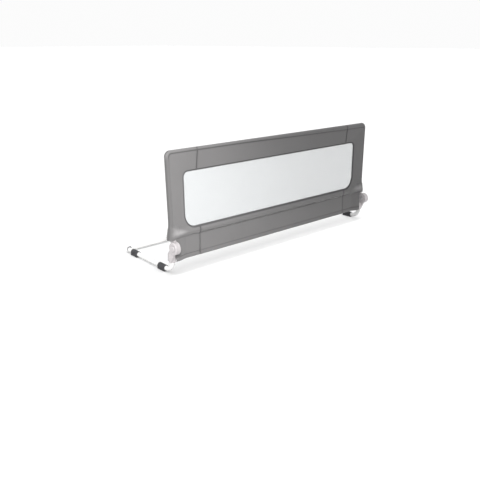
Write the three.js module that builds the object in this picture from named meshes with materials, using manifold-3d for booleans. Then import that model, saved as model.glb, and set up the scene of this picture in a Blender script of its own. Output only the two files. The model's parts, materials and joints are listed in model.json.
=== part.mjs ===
// A folding bed guard rail: a fabric-covered steel-tube panel 1.4 m long on two folding hinges,
// with a base of L-shaped legs that stands behind the side of a bed and runs under its mattress.
//
// Millimetres, +Z up. X runs along the guard (left is -X), +Y points back towards the mattress and
// -Y forwards to the room. z = 0 is the underside of the foot pads.
// The guard is modelled about the plane of its upright tubes (y = 0 there); the whole is then
// shifted so that the origin lies under the centre of its bounding box.

import * as THREE from 'three';
import { mergeVertices } from 'three/addons/utils/BufferGeometryUtils.js';
import Module from 'manifold-3d';

const wasm = await Module();
wasm.setup();

// ---------------------------------------------------------------- driving dimensions
const TOP_Z = 572;            // top of the cover above the surface under the feet
const FABRIC = 1.6;           // thickness of the cover
const FABRIC_GAP = 0.6;       // room between a tube and the cover
const GAP = 0.3;              // room between pieces that touch

const TUBE_R = 11;            // 22 mm tube
const TUBE_BORE = 9.8;        // with a 1.2 mm wall
const SPIGOT_R = 9.45;        // plugs and sleeves that go inside a tube
const SOCKET_R = 11.3;        // sockets that hold a tube
const TUBE_SIDES = 16;

const SLEEVE_R = TUBE_R + FABRIC_GAP + FABRIC;   // outside of the cover round a tube
const TOP_TUBE_Z = TOP_Z - SLEEVE_R;
const LOWER_TUBE_Z = 183;     // cross tube under the window
const LEAN = 0.0496;          // the side tubes lean outwards, mm per mm of height
const SIDE_X = 672;           // side tube's centre at SIDE_Z
const SIDE_Z = 236;
const ELBOW_R = 17;           // bend radius of the moulded corners
const CORNER_R = 30;          // the cover's upper corners

const WINDOW_X = 601.4;       // half the window's length at its top
const WINDOW_IN = 5.3;        // its ends lean in towards the foot by this much
const WINDOW_Z0 = 202.5;      // window's lower edge
const WINDOW_Z1 = 464.4;      // window's upper edge
const BINDING = 6;            // width of the tape round the window
const TOP_SEAM_X = 530;       // vertical seams in the top band
const LOWER_SEAM_X = 515;     // vertical seams in the lower band
const BAND_SEAM_Z = 163;      // seam under the lower tube
const NOTCH_X = 658;          // the flaps end beside the hinges

const AXIS_Y = -28;           // fold axis
const AXIS_Z = 130;
const BARREL_R = 29;          // round hinge housings
const BARREL_X0 = 660;        // inner end
const PART_X = 672;           // joint between the two halves
const BARREL_X1 = 687;        // outer end
const GEAR_X0 = 668, GEAR_X1 = 676;
const BUTTON_TRAVEL = 4;      // the release buttons go in this far

const LEG_X = 669;            // legs and arms of the base
const LEG_BEND = 45;
const ARM_Z = 15;
const REAR_Y = 390;           // rear cross tube
const FRONT_BAR_Y = 9.5, FRONT_BAR_Z = 72, FRONT_BAR_R = 8, FRONT_BAR_BORE = 7;
const SKIRT_Z0 = 60, SKIRT_SPLIT0 = 126, SKIRT_SPLIT1 = 134, SKIRT_Z1 = 162.2;

const Y_SHIFT = -((AXIS_Y - BARREL_R) + (REAR_Y + TUBE_R)) / 2;

const sideX = (z) => SIDE_X + (z - SIDE_Z) * LEAN;

// ---------------------------------------------------------------- finishes
const steel = () => new THREE.MeshStandardMaterial({ color: 0xd9d9d6, roughness: 0.38, metalness: 0.35 });
const zinc = () => new THREE.MeshStandardMaterial({ color: 0xb9bbbd, roughness: 0.35, metalness: 0.9 });
const whitePlastic = () => new THREE.MeshStandardMaterial({ color: 0xe6e2e3, roughness: 0.42, metalness: 0 });
const greyPlastic = () => new THREE.MeshStandardMaterial({ color: 0x8d8f92, roughness: 0.5, metalness: 0 });
const rubber = () => new THREE.MeshStandardMaterial({ color: 0x3b3c3e, roughness: 0.85, metalness: 0 });
const fabric = () => new THREE.MeshStandardMaterial({ color: 0x8b8988, roughness: 0.9, metalness: 0, side: THREE.DoubleSide });
const tape = () => new THREE.MeshStandardMaterial({ color: 0x565657, roughness: 0.9, metalness: 0 });
const net = () => new THREE.MeshStandardMaterial({ color: 0xe4e8ea, roughness: 0.8, metalness: 0, transparent: true, opacity: 0.45 });

// ---------------------------------------------------------------- solids
// A closed three.js geometry as a solid that can be joined and cut.
function solid(geometry) {
  const g = geometry.index ? geometry.toNonIndexed() : geometry.clone();
  for (const name of Object.keys(g.attributes)) if (name !== 'position') g.deleteAttribute(name);
  const merged = mergeVertices(g, 1e-4);
  return new wasm.Manifold(new wasm.Mesh({
    numProp: 3,
    vertProperties: new Float32Array(merged.attributes.position.array),
    triVerts: new Uint32Array(merged.index.array),
  }));
}

function geometryOf(body) {
  const mesh = body.getMesh();
  const positions = new Float32Array((mesh.vertProperties.length / mesh.numProp) * 3);
  for (let i = 0; i < positions.length / 3; i++)
    for (let k = 0; k < 3; k++) positions[3 * i + k] = mesh.vertProperties[mesh.numProp * i + k];
  const g = new THREE.BufferGeometry();
  g.setAttribute('position', new THREE.BufferAttribute(positions, 3));
  g.setIndex(Array.from(mesh.triVerts));
  const flat = g.toNonIndexed();
  flat.computeVertexNormals();
  return flat;
}

const join = (...parts) => parts.reduce((a, b) => a.add(b));
const cut = (a, ...tools) => tools.reduce((body, tool) => body.subtract(tool), a);

const shapeOf = (points, holes = []) => {
  const shape = new THREE.Shape(points.map(([u, v]) => new THREE.Vector2(u, v)));
  for (const hole of holes) shape.holes.push(new THREE.Path(hole.map(([u, v]) => new THREE.Vector2(u, v))));
  return shape;
};
const arc = (cu, cv, ru, a0, a1, n, rv = ru) =>
  Array.from({ length: n + 1 }, (_, i) => {
    const a = ((a0 + ((a1 - a0) * i) / n) * Math.PI) / 180;
    return [cu + ru * Math.cos(a), cv + rv * Math.sin(a)];
  });
const circle = (cu, cv, r, n) => arc(cu, cv, r, 0, 360 - 360 / n, n - 1);

// Convex outline round a set of points.
function hull(points) {
  const p = [...points].sort((a, b) => a[0] - b[0] || a[1] - b[1]);
  const half = (list) => {
    const h = [];
    for (const q of list) {
      while (h.length > 1) {
        const [a, b] = h.slice(-2);
        if ((b[0] - a[0]) * (q[1] - a[1]) - (b[1] - a[1]) * (q[0] - a[0]) > 1e-9) break;
        h.pop();
      }
      h.push(q);
    }
    return h.slice(0, -1);
  };
  return [...half(p), ...half(p.reverse())];
}

// Prisms. X: outline in (y, z). Y: outline in (x, z). Z: outline in (x, y).
const basis = (x, y, z) => new THREE.Matrix4().makeBasis(new THREE.Vector3(...x), new THREE.Vector3(...y), new THREE.Vector3(...z));
function prism(points, depth, matrix, move, holes) {
  const g = new THREE.ExtrudeGeometry(shapeOf(points, holes), { depth, bevelEnabled: false, steps: 1 });
  g.applyMatrix4(matrix);
  g.translate(...move);
  return g;
}
const prismX = (points, x0, x1, holes) => prism(points, x1 - x0, basis([0, 1, 0], [0, 0, 1], [1, 0, 0]), [x0, 0, 0], holes);
const prismY = (points, y0, y1, holes) => prism(points, y1 - y0, basis([1, 0, 0], [0, 0, 1], [0, -1, 0]), [0, y1, 0], holes);
const prismZ = (points, z0, z1, holes) => prism(points, z1 - z0, new THREE.Matrix4(), [0, 0, z0], holes);

// A round bar, or a cone, between two points.
function bar(p0, p1, r0, r1 = r0, sides = TUBE_SIDES) {
  const a = new THREE.Vector3(...p0), b = new THREE.Vector3(...p1);
  const axis = b.clone().sub(a);
  const g = new THREE.CylinderGeometry(r1, r0, axis.length(), sides, 1);
  g.applyQuaternion(new THREE.Quaternion().setFromUnitVectors(new THREE.Vector3(0, 1, 0), axis.clone().normalize()));
  g.translate(...a.clone().add(b).multiplyScalar(0.5).toArray());
  return g;
}

// A straight hollow tube between two points.
function tube(p0, p1, r = TUBE_R, bore = TUBE_BORE, sides = TUBE_SIDES) {
  const a = new THREE.Vector3(...p0), b = new THREE.Vector3(...p1);
  const d = b.clone().sub(a).normalize().multiplyScalar(1);
  return cut(solid(bar(p0, p1, r, r, sides)), solid(bar(a.clone().sub(d).toArray(), b.clone().add(d).toArray(), bore, bore, sides)));
}

// A curve through exact points with exact directions, so that a bend takes only the steps it needs.
class Route extends THREE.Curve {
  constructor(stations) { super(); this.stations = stations; }
  at(u) { return this.stations[Math.round(u * (this.stations.length - 1))]; }
  getPoint(u) { return this.at(u)[0].clone(); }
  getPointAt(u) { return this.at(u)[0].clone(); }
  getTangentAt(u) { return this.at(u)[1].clone(); }
  getTangent(u) { return this.at(u)[1].clone(); }
}
// Stations of a bend at a corner between two straight directions.
function bend(corner, from, to, radius, steps) {
  const c = new THREE.Vector3(...corner);
  const f = new THREE.Vector3(...from).normalize(), t = new THREE.Vector3(...to).normalize();
  const turn = f.angleTo(t);
  const start = c.clone().addScaledVector(f, -radius * Math.tan(turn / 2));
  const inward = t.clone().addScaledVector(f, -t.dot(f)).normalize();
  const centre = start.clone().addScaledVector(inward, radius);
  return Array.from({ length: steps + 1 }, (_, i) => {
    const a = (turn * i) / steps;
    return [
      centre.clone().addScaledVector(inward, -radius * Math.cos(a)).addScaledVector(f, radius * Math.sin(a)),
      f.clone().multiplyScalar(Math.cos(a)).addScaledVector(inward, Math.sin(a)),
    ];
  });
}
function swept(stations, r, bore = 0, sides = TUBE_SIDES) {
  const outline = circle(0, 0, r, sides);
  const holes = bore ? [circle(0, 0, bore, sides)] : [];
  return new THREE.ExtrudeGeometry(shapeOf(outline, holes), {
    extrudePath: new Route(stations), steps: stations.length - 1, bevelEnabled: false,
  });
}
// A body turned about an axis parallel to X. The profile is a list of [x, r] that starts and ends on
// the axis, from high x to low x.
function turnedX(profile, y, z, sides = 24) {
  const g = new THREE.LatheGeometry([...profile].reverse().map(([x, r]) => new THREE.Vector2(r, x)), sides);
  g.applyMatrix4(basis([0, 1, 0], [1, 0, 0], [0, 0, -1]));
  g.translate(0, y, z);
  return g;
}

// ---------------------------------------------------------------- assembly
const guard = new THREE.Group();
guard.position.y = Y_SHIFT;

function add(name, geometry, material, mirrored = false) {
  const mesh = new THREE.Mesh(geometry, material);
  mesh.name = name;
  if (mirrored) mesh.scale.x = -1;
  guard.add(mesh);
}
// A piece made for the right-hand end, and its mirror image at the left.
function addPair(name, geometry, finish) {
  add(`${name}_right`, geometry, finish());
  add(`${name}_left`, geometry, finish(), true);
}

// Small pan-head screw along a direction; its head's underside sits at the given point.
function screw(point, into, length, shank = 1.75, head = 3.4, thick = 1.8) {
  const p = new THREE.Vector3(...point), d = new THREE.Vector3(...into).normalize();
  const g = new THREE.LatheGeometry([
    [0, -length], [shank, -length + 1], [shank, 0], [head, 0], [head, thick * 0.5], [head * 0.7, thick], [0, thick],
  ].map(([r, h]) => new THREE.Vector2(r, h)), 10);
  g.applyQuaternion(new THREE.Quaternion().setFromUnitVectors(new THREE.Vector3(0, 1, 0), d.clone().negate()));
  g.translate(...p.toArray());
  return geometryOf(solid(g));
}
const hole = (p0, p1, r = 2.1) => solid(bar(p0, p1, r, r, 8));

// ---------------------------------------------------------------- top of the panel
const SIDE_DIR = new THREE.Vector3(LEAN, 0, 1).normalize();
const cornerPoint = [sideX(TOP_TUBE_Z), 0, TOP_TUBE_Z];
const elbowBend = bend(cornerPoint, [1, 0, 0], SIDE_DIR.clone().negate().toArray(), ELBOW_R, 5);
const elbowStart = elbowBend[0][0], elbowEnd = elbowBend[elbowBend.length - 1][0];
const SPIGOT = 30;

addPair('corner_elbow', geometryOf(join(
  solid(swept(elbowBend, TUBE_R)),
  solid(bar([elbowStart.x - SPIGOT, 0, TOP_TUBE_Z], [elbowStart.x + 1, 0, TOP_TUBE_Z], SPIGOT_R)),
  solid(bar(elbowEnd.clone().addScaledVector(SIDE_DIR, -SPIGOT).toArray(), elbowEnd.clone().addScaledVector(SIDE_DIR, 1).toArray(), SPIGOT_R)),
)), greyPlastic);

const CONNECTOR_SCREW_X = 35;
addPair('top_tube', geometryOf(cut(
  tube([GAP / 2, 0, TOP_TUBE_Z], [elbowStart.x - GAP, 0, TOP_TUBE_Z]),
  hole([CONNECTOR_SCREW_X, 0, TOP_TUBE_Z - 14], [CONNECTOR_SCREW_X, 0, TOP_TUBE_Z]),
)), steel);
function connector(y, z, into) {
  const [dy, dz] = into;
  return geometryOf(cut(
    tube([-60, y, z], [60, y, z], SPIGOT_R, SPIGOT_R - 1.2),
    ...[-1, 1].map((s) => hole([s * CONNECTOR_SCREW_X, y - dy * 14, z - dz * 14], [s * CONNECTOR_SCREW_X, y, z])),
  ));
}
add('top_tube_connector', connector(0, TOP_TUBE_Z, [0, 1]), zinc());
addPair('top_tube_screw', screw([CONNECTOR_SCREW_X, 0, TOP_TUBE_Z - TUBE_R - GAP], [0, 0, 1], 4), zinc);

// Side tubes, from the sockets in the hinges up to the elbows.
const SIDE_TUBE_Z0 = 172.4;
addPair('side_tube', geometryOf(cut(
  tube([sideX(SIDE_TUBE_Z0), 0, SIDE_TUBE_Z0], elbowEnd.clone().addScaledVector(SIDE_DIR, -GAP).toArray()),
  hole([665, 0, 192], [695, 0, 192]),
)), steel);

// Lower cross tube in two halves.
const LOWER_TUBE_X1 = 646.6;
addPair('lower_tube', geometryOf(cut(
  tube([GAP / 2, 0, LOWER_TUBE_Z], [LOWER_TUBE_X1, 0, LOWER_TUBE_Z]),
  hole([CONNECTOR_SCREW_X, 0, LOWER_TUBE_Z - 14], [CONNECTOR_SCREW_X, 0, LOWER_TUBE_Z]),
  hole([580, 0, LOWER_TUBE_Z - 14], [580, 0, LOWER_TUBE_Z]),
)), steel);
add('lower_tube_connector', connector(0, LOWER_TUBE_Z, [0, 1]), zinc());
addPair('lower_connector_screw', screw([CONNECTOR_SCREW_X, 0, LOWER_TUBE_Z - TUBE_R - GAP], [0, 0, 1], 4), zinc);

// ---------------------------------------------------------------- hinges
// Toothed outline of the lock gear and of the recess that it slides in.
function teeth(tip, root, n, widen) {
  const points = [];
  for (let i = 0; i < n; i++)
    for (const [f, r] of [[-0.28 - widen, root], [-0.16 - widen, tip], [0.16 + widen, tip], [0.28 + widen, root]]) {
      const a = ((i + f) * 2 * Math.PI) / n;
      points.push([AXIS_Y + r * Math.cos(a), AXIS_Z + r * Math.sin(a)]);
    }
  return points;
}

// Upper half: round housing, arm, socket for the side tube and long socket for the lower tube.
const BOSS = { x0: 648, x1: 685, y: 15, z0: 163.5, z1: 212 };
const SCREW_SEAT_X = 681.8;
const rounded = (x0, x1, y0, y1, r, n = 3) => [
  ...arc(x1 - r, y1 - r, r, 0, 90, n), ...arc(x0 + r, y1 - r, r, 90, 180, n),
  ...arc(x0 + r, y0 + r, r, 180, 270, n), ...arc(x1 - r, y0 + r, r, 270, 360, n),
];
const frameHinge = cut(
  join(
    solid(turnedX([[PART_X - GAP / 2, 0], [PART_X - GAP / 2, BARREL_R], [BARREL_X0 + 2, BARREL_R], [BARREL_X0, BARREL_R - 2], [BARREL_X0, 0]], AXIS_Y, AXIS_Z)),
    solid(prismX(hull([...circle(AXIS_Y, AXIS_Z, 24, 24), [-BOSS.y, BOSS.z0], [BOSS.y, BOSS.z0]]), BARREL_X0, PART_X - GAP / 2)),
    solid(prismZ(rounded(BOSS.x0, BOSS.x1, -BOSS.y, BOSS.y, 9), BOSS.z0, BOSS.z1)),
    solid(bar([570, 0, LOWER_TUBE_Z], [673, 0, LOWER_TUBE_Z], 13.4, 19)),
  ),
  solid(bar([sideX(172), 0, 172], [sideX(216), 0, 216], SOCKET_R)),
  solid(bar([565, 0, LOWER_TUBE_Z], [LOWER_TUBE_X1 + GAP, 0, LOWER_TUBE_Z], SOCKET_R)),
  solid(prismX(teeth(19.3, 17.3, 12, 0.02), 663.5, PART_X + 1)),
  solid(bar([655, AXIS_Y, AXIS_Z], [665, AXIS_Y, AXIS_Z], 3.8, 3.8, 12)),
  solid(bar([SCREW_SEAT_X, 0, 192], [695, 0, 192], 4, 4, 12)),
  hole([675, 0, 192], [695, 0, 192]),
  hole([580, 0, LOWER_TUBE_Z - 20], [580, 0, LOWER_TUBE_Z]),
);
addPair('frame_hinge', geometryOf(frameHinge), whitePlastic);
addPair('side_tube_screw', screw([SCREW_SEAT_X + GAP, 0, 192], [-1, 0, 0], 6), zinc);
addPair('lower_tube_screw', screw([580, 0, LOWER_TUBE_Z - 13.95 - GAP], [0, 0, 1], 7, 1.6, 2.8, 1.4), zinc);

// Outer half: round housing with the button's recess, arm, leg socket and front bar socket.
const FLOOR_X0 = 676.4, FLOOR_X1 = 678.4;
const pinCircle = [90, 210, 330].map((a) => [AXIS_Y + 10 * Math.cos((a * Math.PI) / 180), AXIS_Z + 10 * Math.sin((a * Math.PI) / 180)]);
const LEG_SOCKET = { z0: 58, z1: 98, r: 15.5 };
const baseHinge = cut(
  join(
    solid(turnedX([
      [BARREL_X1 - 1.2, 0], [BARREL_X1 - 1.2, 16], [BARREL_X1, 16.6], [BARREL_X1, 25], [BARREL_X1 - 1.2, 27.8], [BARREL_X1 - 3.4, BARREL_R],
      [PART_X + GAP / 2, BARREL_R], [PART_X + GAP / 2, 0],
    ], AXIS_Y, AXIS_Z)),
    solid(prismX(hull([...circle(AXIS_Y, AXIS_Z, 17, 24), [-11, LEG_SOCKET.z0 + 4], [LEG_SOCKET.r, LEG_SOCKET.z0 + 4], [LEG_SOCKET.r, LEG_SOCKET.z1 - 2]]), PART_X + GAP / 2, 683.6)),
    solid(bar([LEG_X, 0, LEG_SOCKET.z0], [LEG_X, 0, LEG_SOCKET.z1], LEG_SOCKET.r, LEG_SOCKET.r, 20)),
    solid(bar([639, FRONT_BAR_Y, FRONT_BAR_Z], [659, FRONT_BAR_Y, FRONT_BAR_Z], 10.5)),
  ),
  solid(bar([LEG_X, 0, LEG_SOCKET.z0 - 1], [LEG_X, 0, 92], SOCKET_R)),
  solid(bar([635, FRONT_BAR_Y, FRONT_BAR_Z], [653, FRONT_BAR_Y, FRONT_BAR_Z], FRONT_BAR_R + GAP)),
  solid(bar([PART_X, AXIS_Y, AXIS_Z], [FLOOR_X0, AXIS_Y, AXIS_Z], 19.5, 19.5, 24)),
  solid(bar([FLOOR_X1, AXIS_Y, AXIS_Z], [BARREL_X1 + 1, AXIS_Y, AXIS_Z], 14.2, 14.2, 24)),
  solid(bar([675, AXIS_Y, AXIS_Z], [680, AXIS_Y, AXIS_Z], 3.8, 3.8, 12)),
  ...pinCircle.map(([y, z]) => solid(bar([675, y, z], [680, y, z], 2.1, 2.1, 8))),
  hole([LEG_X, 10, 76], [LEG_X, 20, 76]),
);
addPair('base_hinge', geometryOf(baseHinge), whitePlastic);

// Pivot rivet along the fold axis.
addPair('pivot_rivet', geometryOf(solid(turnedX([
  [681, 0], [681, 5], [680.2, 6.2], [FLOOR_X1 + GAP, 6.2], [FLOOR_X1 + GAP, 3.5], [BARREL_X0 - GAP, 3.5], [BARREL_X0 - GAP, 7], [657.2, 6.4], [656.4, 5], [656.4, 0],
], AXIS_Y, AXIS_Z, 12))), zinc);

// Lock gear: slides along the axis, in mesh with the upper half.
addPair('lock_gear', geometryOf(cut(
  solid(prismX(teeth(19, 17, 12, 0), GEAR_X0, GEAR_X1)),
  solid(bar([GEAR_X0 - 1, AXIS_Y, AXIS_Z], [674.5, AXIS_Y, AXIS_Z], 9.5, 9.5, 16)),
  solid(bar([674, AXIS_Y, AXIS_Z], [677, AXIS_Y, AXIS_Z], 4.2, 4.2, 12)),
)), greyPlastic);

// Spring behind the gear.
const SPRING = { x0: 663.9, x1: 674.1, r: 7, wire: 0.65, turns: 4, per: 10 };
const springStations = Array.from({ length: SPRING.turns * SPRING.per + 1 }, (_, i) => {
  const n = SPRING.turns * SPRING.per, a = (i / SPRING.per) * 2 * Math.PI;
  const pitch = (SPRING.x1 - SPRING.x0 - 2 * SPRING.wire) / n;
  const along = (pitch * SPRING.per) / (2 * Math.PI);
  return [
    new THREE.Vector3(SPRING.x0 + SPRING.wire + i * pitch, AXIS_Y + SPRING.r * Math.cos(a), AXIS_Z + SPRING.r * Math.sin(a)),
    new THREE.Vector3(along, -SPRING.r * Math.sin(a), SPRING.r * Math.cos(a)).normalize(),
  ];
});
addPair('lock_spring', geometryOf(solid(swept(springStations, SPRING.wire, 0, 5))), zinc);

// Release button: a crowned cap on three pins that reach through the housing to the gear.
addPair('release_button', geometryOf(join(
  solid(turnedX([
    [690, 0], [689.6, 8], [688.4, 12.4], [687, 13.7], [683.6, 13.7], [683.6, 11.6], [687.5, 11.2], [687.6, 0],
  ], AXIS_Y, AXIS_Z)),
  ...pinCircle.map(([y, z]) => solid(bar([GEAR_X1 + GAP, y, z], [688, y, z], 1.6, 1.6, 8))),
)), greyPlastic);

// ---------------------------------------------------------------- cover
// Outline of an end panel, seen from the front, with the window offset outwards by `grow` at its
// edge and the outside drawn in by `inset`.
function endOutline(inset, windowGrow, closedAtWindow) {
  const top = TOP_Z - inset;
  const cz = TOP_Z - CORNER_R, cx = sideX(cz) + SLEEVE_R - CORNER_R;
  const side = [[sideX(542) + SLEEVE_R, 542], [sideX(260) + SLEEVE_R, 260], [685.6, 240], [686.2, 226], [688.0, 210], [690.9, 190], [692.6, 178], [693.3, 164]]
    .map(([x, z]) => [x - inset, z]);
  const outside = [[500, top], ...arc(cx, cz, CORNER_R - inset, 90, 2, 7), ...side.slice(1)];
  if (!closedAtWindow) return [...outside, [693.3 - inset, 150], [500, 150]].reverse();
  const wx = WINDOW_X + windowGrow, w0 = WINDOW_Z0 - windowGrow, w1 = WINDOW_Z1 + windowGrow;
  const wf = wx - WINDOW_IN;
  return [
    [TOP_SEAM_X, top], ...outside.slice(1), [LOWER_SEAM_X, 164], [LOWER_SEAM_X, w0],
    ...arc(wf - 54, w0 + 68, 54, 270, 360, 5, 68), ...arc(wx - 24, w1 - 24, 24, 0, 90, 5), [TOP_SEAM_X, w1],
  ].reverse();
}
// The cover's sections: over the top tube, round the side tube, round the lower tube.
const topSection = (t) => [
  ...arc(0, TOP_TUBE_Z, SLEEVE_R - t, 0, 180, 10), [-(3 - t), WINDOW_Z1 + BINDING - (t ? 1 : 0)], [3 - t, WINDOW_Z1 + BINDING - (t ? 1 : 0)],
];
const sideSection = (t) => [
  ...arc(SIDE_X, 0, SLEEVE_R - t, -90, 90, 10), [606, 3 - t], [480, 3 - t], [480, -(3 - t)], [606, -(3 - t)],
];
const lowerSection = (t) => hull([
  ...circle(0, LOWER_TUBE_Z, SLEEVE_R - t, 16), [-(3 - t), WINDOW_Z0 - BINDING + (t ? 1 : 0)], [3 - t, WINDOW_Z0 - BINDING + (t ? 1 : 0)],
  [-(3 - t), BAND_SEAM_Z + 1.2 * t], [3 - t, BAND_SEAM_Z + 1.2 * t],
]);
function leaning(points, z0, z1) {
  const g = prismZ(points, z0, z1);
  const p = g.attributes.position;
  for (let i = 0; i < p.count; i++) p.setX(i, p.getX(i) + (p.getZ(i) - SIDE_Z) * LEAN);
  return g;
}
function coverBulk(t) {
  const more = t ? 1 : 0;
  return join(
    solid(prismX(topSection(t), 490, 706)),
    solid(leaning(sideSection(t), 150, 600)),
    solid(prismX(lowerSection(t), 490, 677)),
    solid(swept(elbowBend, SLEEVE_R - t, 0, 16)),
    solid(bar([561, 0, LOWER_TUBE_Z], [693.3 - t, 0, LOWER_TUBE_Z], 14.9 - t, 22.4 - t)),
    solid(prismZ(rounded(645.6 + t, 693.3 - t, -17.6 + t, 19.2 - t, 9), 164 - 14 * more, 214.2 - t)),
  );
}
const coverSide = coverBulk(0).intersect(solid(prismY(endOutline(0, BINDING, true), -60, 60)))
  .subtract(coverBulk(FABRIC).intersect(solid(prismY(endOutline(FABRIC, 0, false), -60, 60))));
addPair('cover_side', geometryOf(coverSide), fabric);

const TOP_BAND = [...topSection(0).slice(0, -2), [-3, WINDOW_Z1 + BINDING], [-1.4, WINDOW_Z1 + BINDING], ...arc(0, TOP_TUBE_Z, SLEEVE_R - FABRIC, 180, 0, 10), [1.4, WINDOW_Z1 + BINDING], [3, WINDOW_Z1 + BINDING]];
add('cover_top_band', geometryOf(solid(prismX(TOP_BAND, -TOP_SEAM_X + GAP, TOP_SEAM_X - GAP))), fabric());
add('cover_lower_band', geometryOf(cut(
  solid(prismX(lowerSection(0), -LOWER_SEAM_X + GAP, LOWER_SEAM_X - GAP)),
  solid(prismX(lowerSection(FABRIC), -LOWER_SEAM_X - 1, LOWER_SEAM_X + 1)),
)), fabric());

// Window: a sheet of fine net held in tape.
const windowOutline = (grow, n = 5) => {
  const wx = WINDOW_X + grow, wf = wx - WINDOW_IN, w0 = WINDOW_Z0 - grow, w1 = WINDOW_Z1 + grow;
  return [
    ...arc(wf - 54, w0 + 68, 54, 270, 360, n, 68), ...arc(wx - 24, w1 - 24, 24, 0, 90, n),
    ...arc(-wx + 24, w1 - 24, 24, 90, 180, n), ...arc(-wf + 54, w0 + 68, 54, 180, 270, n, 68),
  ];
};
add('window_mesh', geometryOf(solid(prismY(windowOutline(BINDING - GAP), -0.6, 0.6))), net());
add('window_binding', geometryOf(cut(
  solid(prismY(windowOutline(BINDING - GAP), -3.4, -0.9)),
  solid(prismY(windowOutline(0), -4, 0)),
)), tape());

// Fabric over the hinge line. The end panels go on down in front of the hinges' sockets, and the
// skirt hangs between them. Each is in two strips, above and below the fold.
const flapLine = (off) => [[LOWER_SEAM_X + GAP, -4 + off], [605, -4 + off], [637, -18 + off], [NOTCH_X, -18 + off]];
const flapSection = [...flapLine(-FABRIC / 2), ...flapLine(FABRIC / 2).reverse()];
const skirtSection = [[-1, -1], [1, -1], [1, 1], [-1, 1]].map(([u, v]) => [u * (LOWER_SEAM_X - GAP), -4 + (v * FABRIC) / 2]);
for (const [half, z0, z1] of [['upper', SKIRT_SPLIT1, SKIRT_Z1], ['lower', SKIRT_Z0, SKIRT_SPLIT0]]) {
  addPair(`side_flap_${half}`, geometryOf(solid(prismZ(flapSection, z0, z1))), fabric);
  add(`skirt_${half}`, geometryOf(solid(prismZ(skirtSection, z0, z1))), fabric());
}

// ---------------------------------------------------------------- base
const legRoute = [
  [new THREE.Vector3(LEG_X, 0, 91.7), new THREE.Vector3(0, 0, -1)],
  ...bend([LEG_X, 0, ARM_Z], [0, 0, -1], [0, 1, 0], LEG_BEND, 7),
  [new THREE.Vector3(LEG_X, REAR_Y - ELBOW_R - GAP, ARM_Z), new THREE.Vector3(0, 1, 0)],
];
addPair('base_leg', geometryOf(cut(solid(swept(legRoute, TUBE_R, TUBE_BORE)), hole([LEG_X, 5, 76], [LEG_X, 20, 76]))), steel);
addPair('leg_screw', screw([LEG_X, LEG_SOCKET.r + GAP, 76], [0, -1, 0], 6), zinc);

addPair('rear_corner', geometryOf(join(
  solid(swept(bend([LEG_X, REAR_Y, ARM_Z], [0, 1, 0], [-1, 0, 0], ELBOW_R, 5), TUBE_R)),
  solid(bar([LEG_X, REAR_Y - ELBOW_R - SPIGOT, ARM_Z], [LEG_X, REAR_Y - ELBOW_R + 1, ARM_Z], SPIGOT_R)),
  solid(bar([LEG_X - ELBOW_R - SPIGOT, REAR_Y, ARM_Z], [LEG_X - ELBOW_R + 1, REAR_Y, ARM_Z], SPIGOT_R)),
)), greyPlastic);
addPair('rear_tube', geometryOf(cut(
  tube([GAP / 2, REAR_Y, ARM_Z], [LEG_X - ELBOW_R - GAP, REAR_Y, ARM_Z]),
  hole([CONNECTOR_SCREW_X, REAR_Y - 14, ARM_Z], [CONNECTOR_SCREW_X, REAR_Y, ARM_Z]),
)), steel);
add('rear_tube_connector', connector(REAR_Y, ARM_Z, [1, 0]), zinc());
addPair('rear_connector_screw', screw([CONNECTOR_SCREW_X, REAR_Y - TUBE_R - GAP, ARM_Z], [0, 1, 0], 4), zinc);

add('front_bar', geometryOf(tube([-652.7, FRONT_BAR_Y, FRONT_BAR_Z], [652.7, FRONT_BAR_Y, FRONT_BAR_Z], FRONT_BAR_R, FRONT_BAR_BORE, 20)), steel());

const PAD = [[-12, 0], [12, 0], [13.6, 2.5], [13.6, ARM_Z], ...arc(0, ARM_Z, 13.6, 15, 165, 10), [-13.6, ARM_Z], [-13.6, 2.5]];
for (const [name, y0, y1] of [['foot_pad_front', 50, 105], ['foot_pad_rear', 285, 340]])
  addPair(name, geometryOf(cut(
    solid(prismY(PAD.map(([u, v]) => [u + LEG_X, v]), y0, y1)),
    solid(bar([LEG_X, y0 - 1, ARM_Z], [LEG_X, y1 + 1, ARM_Z], SOCKET_R)),
  )), rubber);

export default guard;
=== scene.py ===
import json
import math
import random

import bmesh
import bpy
import numpy as np
from mathutils import Matrix, Vector


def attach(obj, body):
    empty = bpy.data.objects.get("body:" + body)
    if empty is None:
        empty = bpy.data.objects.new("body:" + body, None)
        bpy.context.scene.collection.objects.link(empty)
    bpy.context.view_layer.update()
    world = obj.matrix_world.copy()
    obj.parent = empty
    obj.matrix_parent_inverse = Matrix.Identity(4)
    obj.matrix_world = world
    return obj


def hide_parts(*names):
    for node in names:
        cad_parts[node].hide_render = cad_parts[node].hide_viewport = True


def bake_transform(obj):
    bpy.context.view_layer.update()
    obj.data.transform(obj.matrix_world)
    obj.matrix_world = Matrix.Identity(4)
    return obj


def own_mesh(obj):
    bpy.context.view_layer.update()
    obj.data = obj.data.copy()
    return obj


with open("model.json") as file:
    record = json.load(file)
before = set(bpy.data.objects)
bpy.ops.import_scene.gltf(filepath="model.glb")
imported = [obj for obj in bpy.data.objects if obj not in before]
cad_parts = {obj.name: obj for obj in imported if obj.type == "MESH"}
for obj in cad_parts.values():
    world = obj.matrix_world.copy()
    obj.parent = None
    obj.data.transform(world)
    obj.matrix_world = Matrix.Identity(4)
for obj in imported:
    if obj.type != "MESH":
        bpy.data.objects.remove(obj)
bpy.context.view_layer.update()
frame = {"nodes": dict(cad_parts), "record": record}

# Sizes are in millimetres about the plane of the guard's upright tubes (y = 0 there), and go to
# metres in the part's frame with place().
Y_SHIFT = -172.0


def place(points):
    p = np.asarray(points, float).reshape(-1, 3).copy()
    p[:, 1] += Y_SHIFT
    return p * 0.001


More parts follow.
